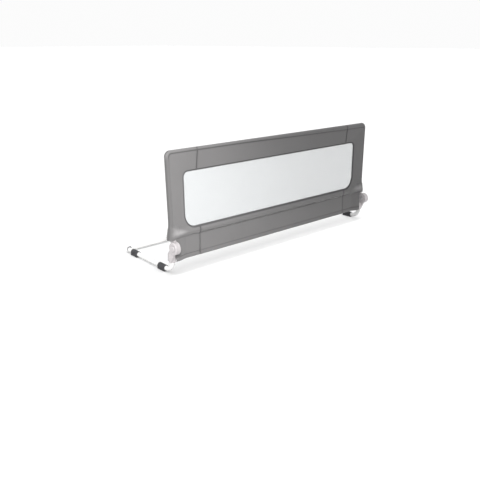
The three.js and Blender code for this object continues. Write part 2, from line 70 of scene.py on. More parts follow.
# ------------------------------------------------------------------ camera
def make_camera():
    yaw, pitch, roll = (math.radians(a) for a in (40.1536, 9.8826, -0.1490))
    f = Vector((math.sin(yaw) * math.cos(pitch), math.cos(yaw) * math.cos(pitch), -math.sin(pitch)))
    r = Vector((math.cos(yaw), -math.sin(yaw), 0.0))
    u = r.cross(f)
    right = math.cos(roll) * r + math.sin(roll) * u
    up = -math.sin(roll) * r + math.cos(roll) * u
    data = bpy.data.cameras.new("camera")
    data.sensor_width = 36.0
    data.lens = 45.3213
    data.shift_x, data.shift_y = 0.02462, -0.19762
    data.clip_start, data.clip_end = 0.05, 200.0
    cam = bpy.data.objects.new("camera", data)
    bpy.context.scene.collection.objects.link(cam)
    m = Matrix.Identity(4)
    for i, v in enumerate((right, up, -f)):
        for k in range(3):
            m[k][i] = v[k]
    m.translation = Vector((-2.1518, -2.3227, 1.0466))
    cam.matrix_world = m
    bpy.context.scene.camera = cam


make_camera()

# ------------------------------------------------------------------ sizes shared with the frame
R = 13.2                     # outside of the cover round a tube
TOP = 572.0
TOP_TUBE_Z, LOWER_TUBE_Z = TOP - R, 183.0
WIN_X, WIN_IN, WIN_Z0, WIN_Z1 = 601.4, 5.3, 202.5, 464.4   # its ends lean in by WIN_IN
EDGE = 2.6                   # half the cover's thickness at the window
TOP_SEAM_X, LOWER_SEAM_X, BAND_SEAM_Z = 530.0, 515.0, 165.0
NOTCH_X, FOOT_X, SKIRT_Z0 = 658.0, 568.0, 60.0
AXIS_Y, AXIS_Z = -28.0, 130.0
CLOTH = 1.2
LEAN_RATIO = 0.0496
SEAM_W = 3.5                 # how far the painted shade of a seam spreads into the cloth


def side_x(z):
    return 672.0 + (np.asarray(z, float) - 236.0) * LEAN_RATIO


_z = np.arange(120.0, 620.0, 1.0)
_x = np.interp(_z, [120, 164, 178, 190, 210, 226, 240, 260, 542, 620],
               [693.3, 693.3, 692.6, 690.9, 688.0, 686.2, 685.6, side_x(260) + R, side_x(542) + R, side_x(620) + R])
_k = np.hanning(23)
_x = np.convolve(np.pad(_x, 11, mode="edge"), _k / _k.sum(), mode="valid")


def out_x(z):
    return np.interp(z, _z, _x)


CORNER_R, CORNER_Z = 30.0, TOP - 30.0
LEAN = math.atan(LEAN_RATIO)
CORNER_X = float(out_x(CORNER_Z)) - CORNER_R / math.cos(LEAN)


def smooth(a, b, v):
    t = np.clip((np.asarray(v, float) - a) / (b - a), 0, 1)
    return t * t * (3 - 2 * t)


def smax(a, b, k):
    h = np.clip(0.5 + 0.5 * (a - b) / k, 0, 1)
    return b + (a - b) * h + k * h * (1 - h)


def from_outside(x, z):
    """Distance inwards from the cover's top and side edges."""
    a = TOP - z
    b = (out_x(z) - x) * math.cos(LEAN)
    corner = CORNER_R - np.hypot(np.maximum(CORNER_R - a, 0), np.maximum(CORNER_R - b, 0))
    return np.where((a < CORNER_R) & (b < CORNER_R), corner, np.minimum(a, b))


def arc(cx, cz, rx, rz, a0, a1, n):
    t = np.radians(np.linspace(a0, a1, n))
    return np.stack([cx + rx * np.cos(t), cz + rz * np.sin(t)], 1)


def window_path(grow=0.0, n=20):
    wx, w0, w1 = WIN_X + grow, WIN_Z0 - grow, WIN_Z1 + grow
    wf = wx - WIN_IN
    parts = [
        arc(wf - 58, w0 + 71, 58, 71, -90, 0, n), arc(wx - 24, w1 - 24, 24, 24, 0, 90, n),
        arc(-wx + 24, w1 - 24, 24, 24, 90, 180, n), arc(-wf + 58, w0 + 71, 58, 71, 180, 270, n),
    ]
    out = []
    for i, p in enumerate(parts):
        out.append(p)
        a, b = p[-1], parts[(i + 1) % 4][0]
        m = max(2, int(np.hypot(*(b - a)) / 12))
        t = np.linspace(0, 1, m + 1)[1:-1, None]
        out.append(a + (b - a) * t)
    return np.concatenate(out)


_win = window_path()


def from_window(x, z):
    p = np.stack([np.abs(x).ravel(), np.asarray(z, float).ravel()], 1)
    out = np.empty(len(p))
    for i in range(0, len(p), 4000):
        d = p[i:i + 4000, None, :] - _win[None]
        out[i:i + 4000] = np.sqrt((d ** 2).sum(2)).min(1)
    return out.reshape(np.shape(x))


def skirt_y(x):
    """How far the skirt stands in front of the tubes' plane."""
    return 4.8 + 12.0 * smooth(590, 645, np.abs(x))


def socket_r(x):
    """Radius of what the cover passes over beside the hinges: the tube, then the socket's cone."""
    a = np.abs(x)
    cone = 14.6 + (a - 561.0) / 112.0 * 7.0
    r = R + (cone - R) * smooth(553, 580, a)
    return r - 4.5 * smooth(667, 685, a)


def gusset(x, z):
    """Where the cloth is stretched over the socket's rib: 1 on its crest, 0 off it."""
    a = np.abs(x)
    mid, half = 188.0 + 0.095 * (a - 576.0), np.maximum(3.0 + 0.25 * (a - 576.0), 1.0)
    across = np.clip(np.abs(z - mid) / half, 0, 1)
    return (1 - across ** 2) ** 1.5 * smooth(574, 636, a) * (1 - smooth(648, 686, a))


def crease(x, z):
    """Fold in the side panels under the socket, in line with the seam under the tube."""
    a = np.abs(x)
    line = BAND_SEAM_Z + 3.5 * smooth(520, 560, a)
    return np.exp(-((z - line) / 2.8) ** 2) * smooth(515, 519, a) * (1 - 0.35 * smooth(560, 650, a)) * (1 - smooth(652, 668, a))


def over(x, z, up, down):
    """Cloth stretched over the lower tube or the socket, leaving it at the angles up and down."""
    r, dz = socket_r(x), z - LOWER_TUBE_Z
    angle = np.where(dz > 0, up, down)
    s, c = np.sin(angle), np.cos(angle)
    t = np.abs(dz)
    return np.where(t < r * s, np.sqrt(np.maximum(r * r - t * t, 1e-9)), (r - t * s) / c)


def height(x, z, front=True):
    """How far the cover's front or back layer stands out from the plane of the tubes."""
    at, strength = edge_seam(x, z)
    x = np.abs(x)
    d, w = from_outside(x, z), from_window(x, z)
    span = EDGE + (R - EDGE) * w / (w + np.maximum(d - R, 0) + 1e-6)
    near = smooth(561, 645, x)
    low = over(x, z, np.radians(28.3 + 14 * near), np.radians(28.3 + 10 * near))
    h = smax(span, np.maximum(low, -20), 2.0 + 3.0 * near)
    boss = 17.4 * smooth(627, 651, x) * (1 - smooth(210, 240, z))
    h = smax(h, boss, 5.0)
    h = h + (5.5 if front else 2.0) * gusset(x, z)
    if front:
        h = smax(h, skirt_y(x) * (1 - smooth(168, 180, z)), 1.5)
        h = np.where(z <= 160, skirt_y(x), h)
        h = h + (skirt_y(x) - h) * (1 - smooth(160, 169, z)) * (1 - smooth(645, 657, x))
        h = h - 1.6 * crease(x, z)
    else:
        # The back layer closes under the lower tube and under the socket that widens towards the hinge.
        closed = 176.0 - 5.2 * smooth(545, 570, x) - 4.0 * np.clip((x - 570) / 75, 0, 1)
        h = h + (1.2 - h) * (1 - smooth(163, closed, z)) * (1 - smooth(617, 645, x))
    # Round the outside, where the layers meet.
    t = np.clip(d / R, 0, 1)
    h = h * np.sqrt(np.maximum(1 - (1 - t) ** 2, 0))
    # The sewn line along the tube, and the turned-in cloth beside it.
    h = h - 1.1 * np.exp(-((d - at) / 1.8) ** 2) * strength
    return h


def edge_seam(x, z):
    """The sewn line beside the tube, which isn't quite parallel to it: its distance and strength."""
    along = smooth(520, 560, z)
    d = 12.8 + (11.0 * smooth(-350, 480, x) + 3.5 * smooth(330, 520, x)) * along
    return d, (0.35 + 0.65 * along) * smooth(150, 215, z)


# Painted shade: darker along the sewn line beside the tube, where its groove lies in shade, and along the rounded outer
# edge of the side panels, which turns away from the light.
def seam_painted_shade(x, z):
    d = from_outside(np.abs(x), z)
    at, strength = edge_seam(x, z)
    side = 1 - smooth(525, 560, z)
    # Painted shade on the rounded outer edge of the side panels.
    painted_rim_shade = 0.36 * (1 - smooth(8.5, 13.5, d)) + 0.30 * np.exp(-(d / 3.4) ** 2)
    return np.maximum(np.exp(-((d - at) / 2.6) ** 2) * strength, painted_rim_shade * side)


# ------------------------------------------------------------------ mesh helpers
def new_object(name, verts, faces, uv=None, attributes=None, smooth_faces=True, metres=False):
    mesh = bpy.data.meshes.new(name)
    v = np.asarray(verts, float) if metres else place(verts)
    mesh.from_pydata([tuple(p) for p in v], [], [tuple(int(i) for i in f) for f in faces])
    for key, values in (attributes or {}).items():
        mesh.attributes.new(key, "FLOAT", "POINT").data.foreach_set("value", np.asarray(values, np.float32))
    if uv is not None:
        layer = mesh.uv_layers.new(name="cloth")
        idx = np.empty(len(mesh.loops), np.int32)
        mesh.loops.foreach_get("vertex_index", idx)
        layer.data.foreach_set("uv", np.asarray(uv, np.float32)[idx].ravel())
    mesh.update()
    if smooth_faces:
        mesh.shade_smooth()
    obj = bpy.data.objects.new(name, mesh)
    bpy.context.scene.collection.objects.link(obj)
    return obj


def grid(nu, nv, offset=0, flip=False, close_u=False):
    """Quads over a grid of nu by nv points, row by row."""
    faces = []
    for i in range(nu if close_u else nu - 1):
        for j in range(nv - 1):
            a, b = i * nv + j, ((i + 1) % nu) * nv + j
            q = (a, b, b + 1, a + 1)
            faces.append(tuple(offset + k for k in (q[::-1] if flip else q)))
    return faces


def bake_modifiers(obj):
    dg = bpy.context.evaluated_depsgraph_get()
    mesh = bpy.data.meshes.new_from_object(obj.evaluated_get(dg))
    obj.modifiers.clear()
    old, obj.data = obj.data, mesh
    bpy.data.meshes.remove(old)
    mesh.name = obj.name
    return obj


def thicken(obj, thickness=CLOTH, offset=-1.0):
    bm = bmesh.new()
    bm.from_mesh(obj.data)
    bmesh.ops.remove_doubles(bm, verts=bm.verts, dist=2e-5)
    bm.to_mesh(obj.data)
    bm.free()
    m = obj.modifiers.new("thick", "SOLIDIFY")
    m.thickness, m.offset, m.use_even_offset, m.use_quality_normals = thickness * 0.001, offset, False, True
    bake_modifiers(obj)
    obj.data.shade_smooth()
    return obj


def sharpen(obj, degrees=32):
    obj.data.shade_smooth()
    obj.data.set_sharp_from_angle(angle=math.radians(degrees))
    return obj


# ------------------------------------------------------------------ cover
def near_ends(n, first=True, last=True, fine=(0.0, 0.7, 1.6, 2.8, 4.5), length=100.0):
    """Positions 0 to 1 along a stretch, with more of them beside a seam."""
    body = list(np.linspace(0, 1, n + 1))
    lo = [f / length for f in fine] if first else []
    hi = [1 - f / length for f in fine] if last else []
    step = 1.0 / n
    keep = [t for t in body if (not first or t > lo[-1] + 0.3 * step) and (not last or t < hi[-1] - 0.3 * step)]
    return np.array(sorted(set(lo + keep + hi)))


def seam_dip(dist, depth=1.0, width=2.2):
    """Cloth turns in where two panels are sewn."""
    return depth * np.exp(-(np.maximum(dist, 0) / width) ** 2)


def side_lines():
    """Lines across the right-hand side panel, from the window's edge to the outside."""
    W, O, wrap = [], [], []

    def put(w, o, m):
        W.extend(w), O.extend(o), wrap.extend([m] * len(w) if np.isscalar(m) else list(m))

    t = near_ends(14, True, False, length=144.0)
    put([(TOP_SEAM_X + 0.15 + (WIN_X - 24 - TOP_SEAM_X) * a, WIN_Z1) for a in t],
        [(TOP_SEAM_X + 0.15 + (CORNER_X - TOP_SEAM_X) * a, TOP) for a in t], 1.0)
    a = np.linspace(0, 1, 17)[1:]
    lo = -math.degrees(LEAN)
    put([tuple(arc(WIN_X - 24, WIN_Z1 - 24, 24, 24, 90 - 90 * s, 0, 1)[0]) for s in a],
        [tuple(arc(CORNER_X, CORNER_Z, CORNER_R, CORNER_R, 90 + (lo - 90) * s, 0, 1)[0]) for s in a], 1.0)
    z1 = CORNER_Z + CORNER_R * math.sin(math.radians(lo))
    a = np.linspace(0, 1, 30)[1:]
    put([(WIN_X - WIN_IN * s, WIN_Z1 - 24 + (WIN_Z0 + 71 - WIN_Z1 + 24) * s) for s in a],
        [(float(out_x(z1 + (262 - z1) * s)), z1 + (262 - z1) * s) for s in a], 1.0)
    n1, n2, n3 = 26, 10, 24
    us = list(np.linspace(0, 0.5, n1 + 1)[1:]) + list(0.5 + np.linspace(0, 0.16, n2 + 1)[1:]) + list(0.66 + np.linspace(0, 0.34, n3 + 1)[1:])
    for u in us:
        p = arc(WIN_X - WIN_IN - 58, WIN_Z0 + 71, 58, 71, -90 * u, 0, 1)[0]
        if u <= 0.5 + 1e-9:
            z = 262 + (164 - 262) * (u / 0.5)
            o, m = (float(out_x(z)), z), 1.0
        elif u <= 0.66 + 1e-9:
            s = (u - 0.5) / 0.16
            o, m = (float(out_x(164.0)) + (NOTCH_X - float(out_x(164.0))) * s, 164.0), 1.0 - 0.9 * s
        else:
            s = (u - 0.66) / 0.34
            o, m = (NOTCH_X + (FOOT_X - NOTCH_X) * s, 164.0), 0.1 * (1 - s)
        put([tuple(p)], [o], m)
    t = near_ends(8, False, True, length=55.0)[1:]
    w = WIN_X - WIN_IN - 58
    put([(w + (LOWER_SEAM_X + 0.15 - w) * a, WIN_Z0) for a in t],
        [(FOOT_X + (LOWER_SEAM_X + 0.15 - FOOT_X) * a, 164.0) for a in t], 0.0)
    return np.array(W), np.array(O), np.array(wrap)


def side_grid():
    W, O, wrap = side_lines()
    L = np.hypot(*(O - W).T)
    # How squarely each line meets the outside.
    e = 0.5
    back = O + (W - O) / L[:, None] * e
    square = np.clip(from_outside(back[:, 0], back[:, 1]) / e, 0.25, 1)
    angles = np.radians([90, 80, 68, 56, 45, 34, 24, 14, 6, 0])
    wrapped = R * (1 - np.sin(np.pi / 2 - angles))          # 13.2 .. 0
    seam = np.array([29.0, 27.0, 25.2, 24.0, 22.8, 21.0, 19.0, 17.4, 16.0, 14.8, 13.8])
    lines = []
    for i in range(len(W)):
        total = L[i] * square[i]
        ds = np.concatenate([np.linspace(total, min(31.0, total * 0.38), 24), seam * min(1.0, total / 60.0), wrapped])
        ds = np.maximum.accumulate(ds[::-1])[::-1]
        tw = 1 - ds / total
        tu = np.linspace(0, 1, len(ds))
        tau = wrap[i] * tw + (1 - wrap[i]) * tu
        tau[0], tau[-1] = 0.0, 1.0
        lines.append(W[i] + (O[i] - W[i]) * tau[:, None])
    return np.array(lines), wrap


def dips(x, z):
    """Seams at the ends of the side panels: how far the cloth dips in, and a mask of painted shade in the seams'
    grooves.
    """
    x = np.abs(x)
    top = seam_dip(x - TOP_SEAM_X) * (z > 400)
    low = seam_dip(x - LOWER_SEAM_X) * (z < 300)
    return top + low, np.maximum(np.exp(-((x - TOP_SEAM_X) / SEAM_W) ** 2) * (z > 400), np.exp(-((x - LOWER_SEAM_X) / SEAM_W) ** 2) * (z < 300))


def cloth_uv(x, z):
    """Arc length across the rounded edges, so that the weave isn't squeezed there."""
    d = from_outside(np.abs(x), z)
    t = np.clip(d / R, 0, 1)
    extra = np.where(d < R, R * np.arccos(np.clip(1 - t, -1, 1)) - d, (math.pi / 2 - 1) * R)
    side = (TOP - z > d + 0.01)
    u = np.where(side, np.sign(x) * (np.abs(x) - extra), x)
    v = np.where(side, z, z - extra)
    return np.stack([u, v], -1) * 0.001


rng = np.random.default_rng(7)
_waves = [(rng.uniform(1.5, 7.0), rng.uniform(0.5, 9.0), rng.uniform(0, 6.28), rng.uniform(0.3, 1.0)) for _ in range(9)]


def slack(x, z, amount=0.35):
    """Very slight unevenness of cloth that is stretched by hand."""
    s = 0
    for a, b, p, k in _waves:
        s = s + k * np.sin(a * x / 160.0 + b * z / 160.0 + p)
    return amount * s / 3.0


def make_side(sign):
    lines, wrap = side_grid()
    nu, nv = lines.shape[:2]
    x, z = lines[..., 0], lines[..., 1]
    dip, dark = dips(x, z)
    inner = smooth(0, 30, from_window(x, z)) * smooth(0, 26, from_outside(x, z))
    hf = height(sign * x, z, True) - dip + slack(sign * x, z) * inner
    hb = height(sign * x, z, False) - dip * 0.8 + slack(sign * x + 500, z) * inner
    on_edge = from_outside(x, z) < 0.05
    hf, hb = np.where(on_edge, 0, hf), np.where(on_edge, 0, np.maximum(hb, 0.4))
    front = np.stack([sign * x, -hf, z], -1).reshape(-1, 3)
    back = np.stack([sign * x, hb, z], -1).reshape(-1, 3)
    # Painted shade: darker in the seams' grooves, along the sewn line and the rounded edge, and in the crease under the
    # socket.
    shade = np.maximum.reduce([dark, seam_painted_shade(sign * x, z), 0.75 * crease(x, z)])
    # Painted highlight: the cloth over the socket's bulge is lightened, standing in for its lit top; fainter on the
    # back layer.
    painted_highlight = gusset(x, z)
    verts, faces = [front, back], []
    faces += grid(nu, nv, 0, flip=(sign < 0))
    faces += grid(nu, nv, nu * nv, flip=(sign > 0))
    uv = [cloth_uv(sign * x, z).reshape(-1, 2), cloth_uv(sign * x, z).reshape(-1, 2) + [3.0, 0]]
    shades = [shade.ravel(), shade.ravel()]
    painted_highlights = [painted_highlight.ravel(), 0.4 * painted_highlight.ravel()]
    # The part that hangs below, between the hinge and the seam.
    cols = [i for i in range(nu) if abs(z[i, -1] - 164.0) < 1e-6 and x[i, -1] <= NOTCH_X + 1e-6]
    zs = np.concatenate([[164.0], np.linspace(160, 84, 20), [81.4, 80.2, 79.0, 76.0, 70.0, 64.0, 61.6, 60.4, 60.0]])
    gx = np.repeat(x[cols, -1][:, None], len(zs), 1)
    gz = np.repeat(zs[None], len(cols), 0)
    dip2, painted_shade2 = dips(gx, gz)
    hem = 0.5 * (1 - smooth(79.0, 81.4, gz)) - 0.5 * np.exp(-((gz - 80.2) / 0.9) ** 2)
    edge = seam_dip(NOTCH_X - gx, 0.8, 1.5)
    hs = skirt_y(gx) - dip2 + hem + slack(sign * gx, gz, 0.5) * smooth(164, 150, gz) - edge
    hs[:, 0] = hf[cols, -1]
    hs = hs - 0.9 * (1 - smooth(60.0, 62.5, gz))
    verts.append(np.stack([sign * gx, -hs, gz], -1).reshape(-1, 3))
    faces += grid(len(cols), len(zs), 2 * nu * nv, flip=(sign < 0))
    uv.append(np.stack([sign * gx, gz], -1).reshape(-1, 2) * 0.001)
    # Painted shade in the seams' grooves, in the hem's fold and in the crease.
    shades.append(np.maximum.reduce([painted_shade2, np.exp(-((gz - 80.2) / 1.0) ** 2), 0.75 * crease(gx, gz)]).ravel())
    painted_highlights.append(np.zeros(gx.size))
    obj = new_object("cover_side_panel_" + ("right" if sign > 0 else "left"), np.concatenate(verts), faces,
                     uv=np.concatenate(uv), attributes={"seam": np.concatenate(shades), "painted_highlight": np.concatenate(painted_highlights)})
    return thicken(obj)


def make_top():
    half = TOP_SEAM_X - 0.15
    xs = near_ends(84, True, True, length=2 * half) * 2 * half - half
    angles = np.radians([90, 80, 68, 56, 45, 34, 24, 14, 6, 0])
    wrapped = R * (1 - np.cos(angles[::-1]))[::-1]
    ds = np.concatenate([np.linspace(TOP - WIN_Z1, 31, 15), [29.0, 27.2, 25.8, 24.6, 23.6, 22.4, 21.0, 19.6, 18.2, 16.8, 15.6, 14.6, 13.8], wrapped])
    zs = TOP - ds
    gx, gz = np.repeat(xs[:, None], len(zs), 1), np.repeat(zs[None], len(xs), 0)
    dip = seam_dip(TOP_SEAM_X - np.abs(gx))
    # Painted shade in the seams' grooves, along the sewn line and on the rounded edge.
    dark = np.maximum(np.exp(-((TOP_SEAM_X - np.abs(gx)) / SEAM_W) ** 2), seam_painted_shade(gx, gz))
    inner = smooth(0, 30, from_window(gx, gz)) * smooth(0, 26, from_outside(gx, gz))
    verts, faces, uv = [], [], []
    for k, (s, front) in enumerate(((-1, True), (1, False))):
        h = height(gx, gz, front) - dip + slack(gx + 500 * k, gz) * inner
        h = np.where(TOP - gz < 0.05, 0.0, h)
        zz = gz - np.where(TOP - gz < 12, dip * (1 - (TOP - gz) / 12), 0)
        verts.append(np.stack([gx, s * h, zz], -1).reshape(-1, 3))
        faces += grid(len(xs), len(zs), k * len(xs) * len(zs), flip=(s > 0))
        uv.append(cloth_uv(gx, gz).reshape(-1, 2) + [3.0 * k, 0])
    obj = new_object("cover_top_panel", np.concatenate(verts), faces, uv=np.concatenate(uv),
                     attributes={"seam": np.concatenate([dark.ravel()] * 2)})
    return thicken(obj)


def make_lower():
    """Sleeve round the lower tube, between the side panels."""
    half = LOWER_SEAM_X - 0.15
    xs = near_ends(84, True, True, length=2 * half) * 2 * half - half
    zf = np.concatenate([np.linspace(WIN_Z0, 187, 10), np.linspace(185, 179, 4), np.linspace(177, 168.5, 8), [167.4, 166.5, 165.8, 165.2]])
    gx, gz = np.repeat(xs[:, None], len(zf), 1), np.repeat(zf[None], len(xs), 0)
    dip = seam_dip(LOWER_SEAM_X - np.abs(gx))
    verts, faces, uv, shades = [], [], [], []
    for k, s in enumerate((-1, 1)):
        h = height(gx, gz, s < 0) - dip + slack(gx + 300 * k, gz, 0.25) * smooth(WIN_Z0, 195, gz)
        fold = 1 - smooth(165.0, 169.0, gz)
        h = h + ((3.2 if s < 0 else -1.6) - h) * fold
        verts.append(np.stack([gx, s * h, gz], -1).reshape(-1, 3))
        faces += grid(len(xs), len(zf), k * len(xs) * len(zf), flip=(s < 0))
        uv.append(np.stack([gx, gz], -1).reshape(-1, 2) * 0.001 + [3.0 * k, 0])
        # Painted shade in the seams' grooves and in the fold under the lower tube.
        shades.append(np.maximum(np.exp(-((LOWER_SEAM_X - np.abs(gx)) / SEAM_W) ** 2), np.exp(-((gz - 166.2) / 3.5) ** 2)).ravel())
    obj = new_object("cover_lower_panel", np.concatenate(verts), faces, uv=np.concatenate(uv), attributes={"seam": np.concatenate(shades)})
    return thicken(obj)


def make_skirt():
    half = LOWER_SEAM_X - 0.15
    xs = near_ends(84, True, True, length=2 * half) * 2 * half - half
    zs = np.concatenate([[164.8, 164.2, 163.2, 161.8, 160.0, 157.6], np.linspace(154, 84, 20), [81.4, 80.2, 79.0, 76.0, 70.0, 64.0, 61.6, 60.4, 60.0]])
    gx, gz = np.repeat(xs[:, None], len(zs), 1), np.repeat(zs[None], len(xs), 0)
    dip = seam_dip(LOWER_SEAM_X - np.abs(gx)) + seam_dip(164.9 - gz, 1.6, 2.2)
    hem = 0.5 * (1 - smooth(79.0, 81.4, gz)) - 0.5 * np.exp(-((gz - 80.2) / 0.9) ** 2)
    h = skirt_y(gx) - dip + hem + slack(gx, gz, 0.5) * smooth(162, 150, gz) - 0.9 * (1 - smooth(60.0, 62.5, gz))
    # Painted shade in the seams' grooves, in the fold under the lower tube and in the hem's fold.
    dark = np.maximum.reduce([np.exp(-((LOWER_SEAM_X - np.abs(gx)) / SEAM_W) ** 2), np.exp(-((gz - 166.2) / 3.5) ** 2), np.exp(-((gz - 80.2) / 1.0) ** 2)])
    obj = new_object("skirt_panel", np.stack([gx, -h, gz], -1).reshape(-1, 3), grid(len(xs), len(zs)),
                     uv=np.stack([gx, gz], -1).reshape(-1, 2) * 0.001, attributes={"seam": dark.ravel()})
    return thicken(obj)


def make_hem_sleeve():
    """The hem's channel behind the skirt, which holds the front bar."""
    cy, cz, r = 9.5, 72.0, 9.6
    pts = [(-3.4, 84.0), (-3.4, 76.0), (-3.2, 66.0)]
    for a in np.radians(np.linspace(215, 395, 15)):
        pts.append((cy + r * math.cos(a), cz + r * math.sin(a)))
    pts += [(12.0, 84.5), (4.0, 87.5), (-1.5, 88.5), (-3.3, 88.0)]
    pts = np.array(pts)
    xs = np.linspace(-634, 634, 64)
    lift = slack(xs, xs * 0, 0.5)
    verts = np.array([[x, p[0] + l * 0.3, p[1] + l * 0.4] for x, l in zip(xs, lift) for p in pts])
    arc_len = np.concatenate([[0], np.cumsum(np.hypot(*np.diff(pts, axis=0).T))])
    uv = np.array([[x, s] for x in xs for s in arc_len]) * 0.001
    obj = new_object("skirt_hem_channel", verts, grid(len(xs), len(pts), flip=True), uv=uv, attributes={"seam": np.zeros(len(verts))})
    return thicken(obj, 1.0, -1.0)


def make_binding():
    """Tape folded over the cloth's edge at the window, on both faces."""
    path = window_path(0, 22)
    n = len(path)
    tangent = np.roll(path, -1, 0) - np.roll(path, 1, 0)
    tangent /= np.hypot(*tangent.T)[:, None]
    normal = np.stack([tangent[:, 1], -tangent[:, 0]], 1)
    centre = np.array([0, 0.5 * (WIN_Z0 + WIN_Z1)])
    if ((path - centre) * normal).sum() < 0:
        normal = -normal
    along = [(-1.2, 0.25), (-1.15, 0.8), (-0.9, 1.5), (-0.4, 2.3), (0.3, 3.0)]
    on = [(1.0, 0.75), (2.3, 0.95), (3.8, 1.0), (5.3, 0.95), (6.1, 0.75), (6.5, 0.3), (6.6, -0.5)]
    sections = []
    for front in (True, False):
        rows = [np.full(n, h) for _, h in along]
        for a, lift in on:
            q = path + normal * a
            rows.append(height(q[:, 0], q[:, 1], front) + lift)
        rows = np.array(rows)
        rows[3:5] = np.maximum(rows[3:5], rows[5] * np.array([0.55, 0.85])[:, None])
        sections.append(rows)
    offs = [a for a, _ in along + on]
    verts, uv = [], []
    length = np.concatenate([[0], np.cumsum(np.hypot(*np.diff(path, axis=0).T))])
    for i, (p, q) in enumerate(zip(path, normal)):
        loop = [(a, -h) for a, h in zip(offs[::-1], sections[0][::-1, i])] + [(a, h) for a, h in zip(offs, sections[1][:, i])]
        for j, (a, h) in enumerate(loop):
            verts.append((p[0] + q[0] * a, h, p[1] + q[1] * a))
            uv.append((length[i] * 0.001, j * 0.0011))
    m = 2 * len(offs)
    faces = []
    for i in range(n):
        for j in range(m - 1):
            a, b = i * m + j, ((i + 1) % n) * m + j
            faces.append((a, b, b + 1, a + 1))
    obj = new_object("window_binding_tape", verts, faces, uv=uv)
    outward(obj)
    m = obj.modifiers.new("thick", "SOLIDIFY")
    m.thickness, m.offset = 0.0006, -1.0
    bake_modifiers(obj)
    return sharpen(obj, 60)


def make_net():
    path = window_path(4.0, 10)
    n = len(path)
    mid = np.array([0, 0.5 * (WIN_Z0 + WIN_Z1)])
    rings = [1.0, 0.9, 0.6, 0.3]
    verts, uv = [], []
    for s in (-0.2, 0.2):
        for r in rings:
            for p in path:
                q = mid + (p - mid) * [1 - (1 - r) * 1.0, r]
                verts.append([q[0], s, q[1]])
                uv.append(q * 0.001)
    faces = []
    count = n * len(rings)
    for k in range(2):
        for r in range(len(rings) - 1):
            for i in range(n):
                a, b = k * count + r * n + i, k * count + r * n + (i + 1) % n
                q = (a, b, b + n, a + n)
                faces.append(q if k == 0 else q[::-1])
        cap = [k * count + (len(rings) - 1) * n + i for i in range(n)]
        faces.append(cap if k == 0 else cap[::-1])
    for i in range(n):
        faces.append((i, count + i, count + (i + 1) % n, (i + 1) % n))
    obj = new_object("window_net", verts, faces, uv=uv, smooth_faces=False)
    bm = bmesh.new()
    bm.from_mesh(obj.data)
    bmesh.ops.triangulate(bm, faces=[f for f in bm.faces if len(f.verts) > 4])
    bmesh.ops.recalc_face_normals(bm, faces=bm.faces)
    bm.to_mesh(obj.data)
    bm.free()
    return obj


# ------------------------------------------------------------------ stitches
def stitches(name, rows, pitch=4.2, length=3.0, radius=0.32):
    """Rows are lists of points (x, y, z) with an outward direction each."""
    verts, faces = [], []
    sides = 5
    for pts, out in rows:
        pts, out = np.asarray(pts, float), np.asarray(out, float)
        seg = np.linalg.norm(np.diff(pts, axis=0), axis=1)
        s = np.concatenate([[0], np.cumsum(seg)])
        k = 0.5 * pitch
        while k + length < s[-1]:
            at = np.array([k, k + 0.18 * length, k + 0.5 * length, k + 0.82 * length, k + length])
            p = np.stack([np.interp(at, s, pts[:, i]) for i in range(3)], 1)
            o = np.stack([np.interp(at, s, out[:, i]) for i in range(3)], 1)
            o /= np.linalg.norm(o, axis=1)[:, None]
            t = p[-1] - p[0]
            t /= np.linalg.norm(t)
            b = np.cross(t, o[2])
            lift = np.array([-0.25, 0.12, 0.2, 0.12, -0.25])
            rad = radius * np.array([0.55, 1, 1, 1, 0.55])
            base = len(verts)
            for q, l, r, oo in zip(p, lift, rad, o):
                for j in range(sides):
                    a = 2 * math.pi * j / sides
                    verts.append(q + oo * (l + r * math.cos(a)) + b * r * math.sin(a))
            for i in range(4):
                for j in range(sides):
                    a, c = base + i * sides + j, base + i * sides + (j + 1) % sides
                    faces.append((a, a + sides, c + sides, c))
            faces.append([base + j for j in range(sides)])
            faces.append([base + 4 * sides + j for j in range(sides)][::-1])
            k += pitch
    obj = new_object(name, verts, faces)
    bm = bmesh.new()
    bm.from_mesh(obj.data)
    bmesh.ops.recalc_face_normals(bm, faces=bm.faces)
    bm.to_mesh(obj.data)
    bm.free()
    return obj


def on_cover(x, z, front=True):
    """Points on the cover's surface with their outward directions."""
    x, z = np.asarray(x, float), np.asarray(z, float)
    e = 0.5
    s = -1.0 if front else 1.0
    h = height(x, z, front)
    hx = (height(x + e, z, front) - height(x - e, z, front)) / (2 * e)
    hz = (height(x, z + e, front) - height(x, z - e, front)) / (2 * e)
    n = np.stack([-hx, s * np.ones_like(h), -hz], 1)
    return np.stack([x, s * h, z], 1), n / np.linalg.norm(n, axis=1)[:, None]


def edge_row():
    """A row just inside the sewn line beside the tube, from one bottom end to the other."""
    zs = np.linspace(222, CORNER_Z, 120)
    right = np.stack([out_x(zs), zs], 1)
    corner = arc(CORNER_X, CORNER_Z, CORNER_R, CORNER_R, 0, 90, 14)
    top = np.stack([np.linspace(CORNER_X, -CORNER_X, 160), np.full(160, TOP)], 1)
    left = (np.concatenate([right, corner]) * [-1, 1])[::-1]
    outside = np.concatenate([right, corner, top[1:-1], left])
    along = np.roll(outside, -1, 0) - np.roll(outside, 1, 0)
    along[0], along[-1] = outside[1] - outside[0], outside[-1] - outside[-2]
    inwards = np.stack([-along[:, 1], along[:, 0]], 1) / np.hypot(*along.T)[:, None]
    d = edge_seam(outside[:, 0], outside[:, 1])[0] + 3.4
    return outside + inwards * d[:, None]


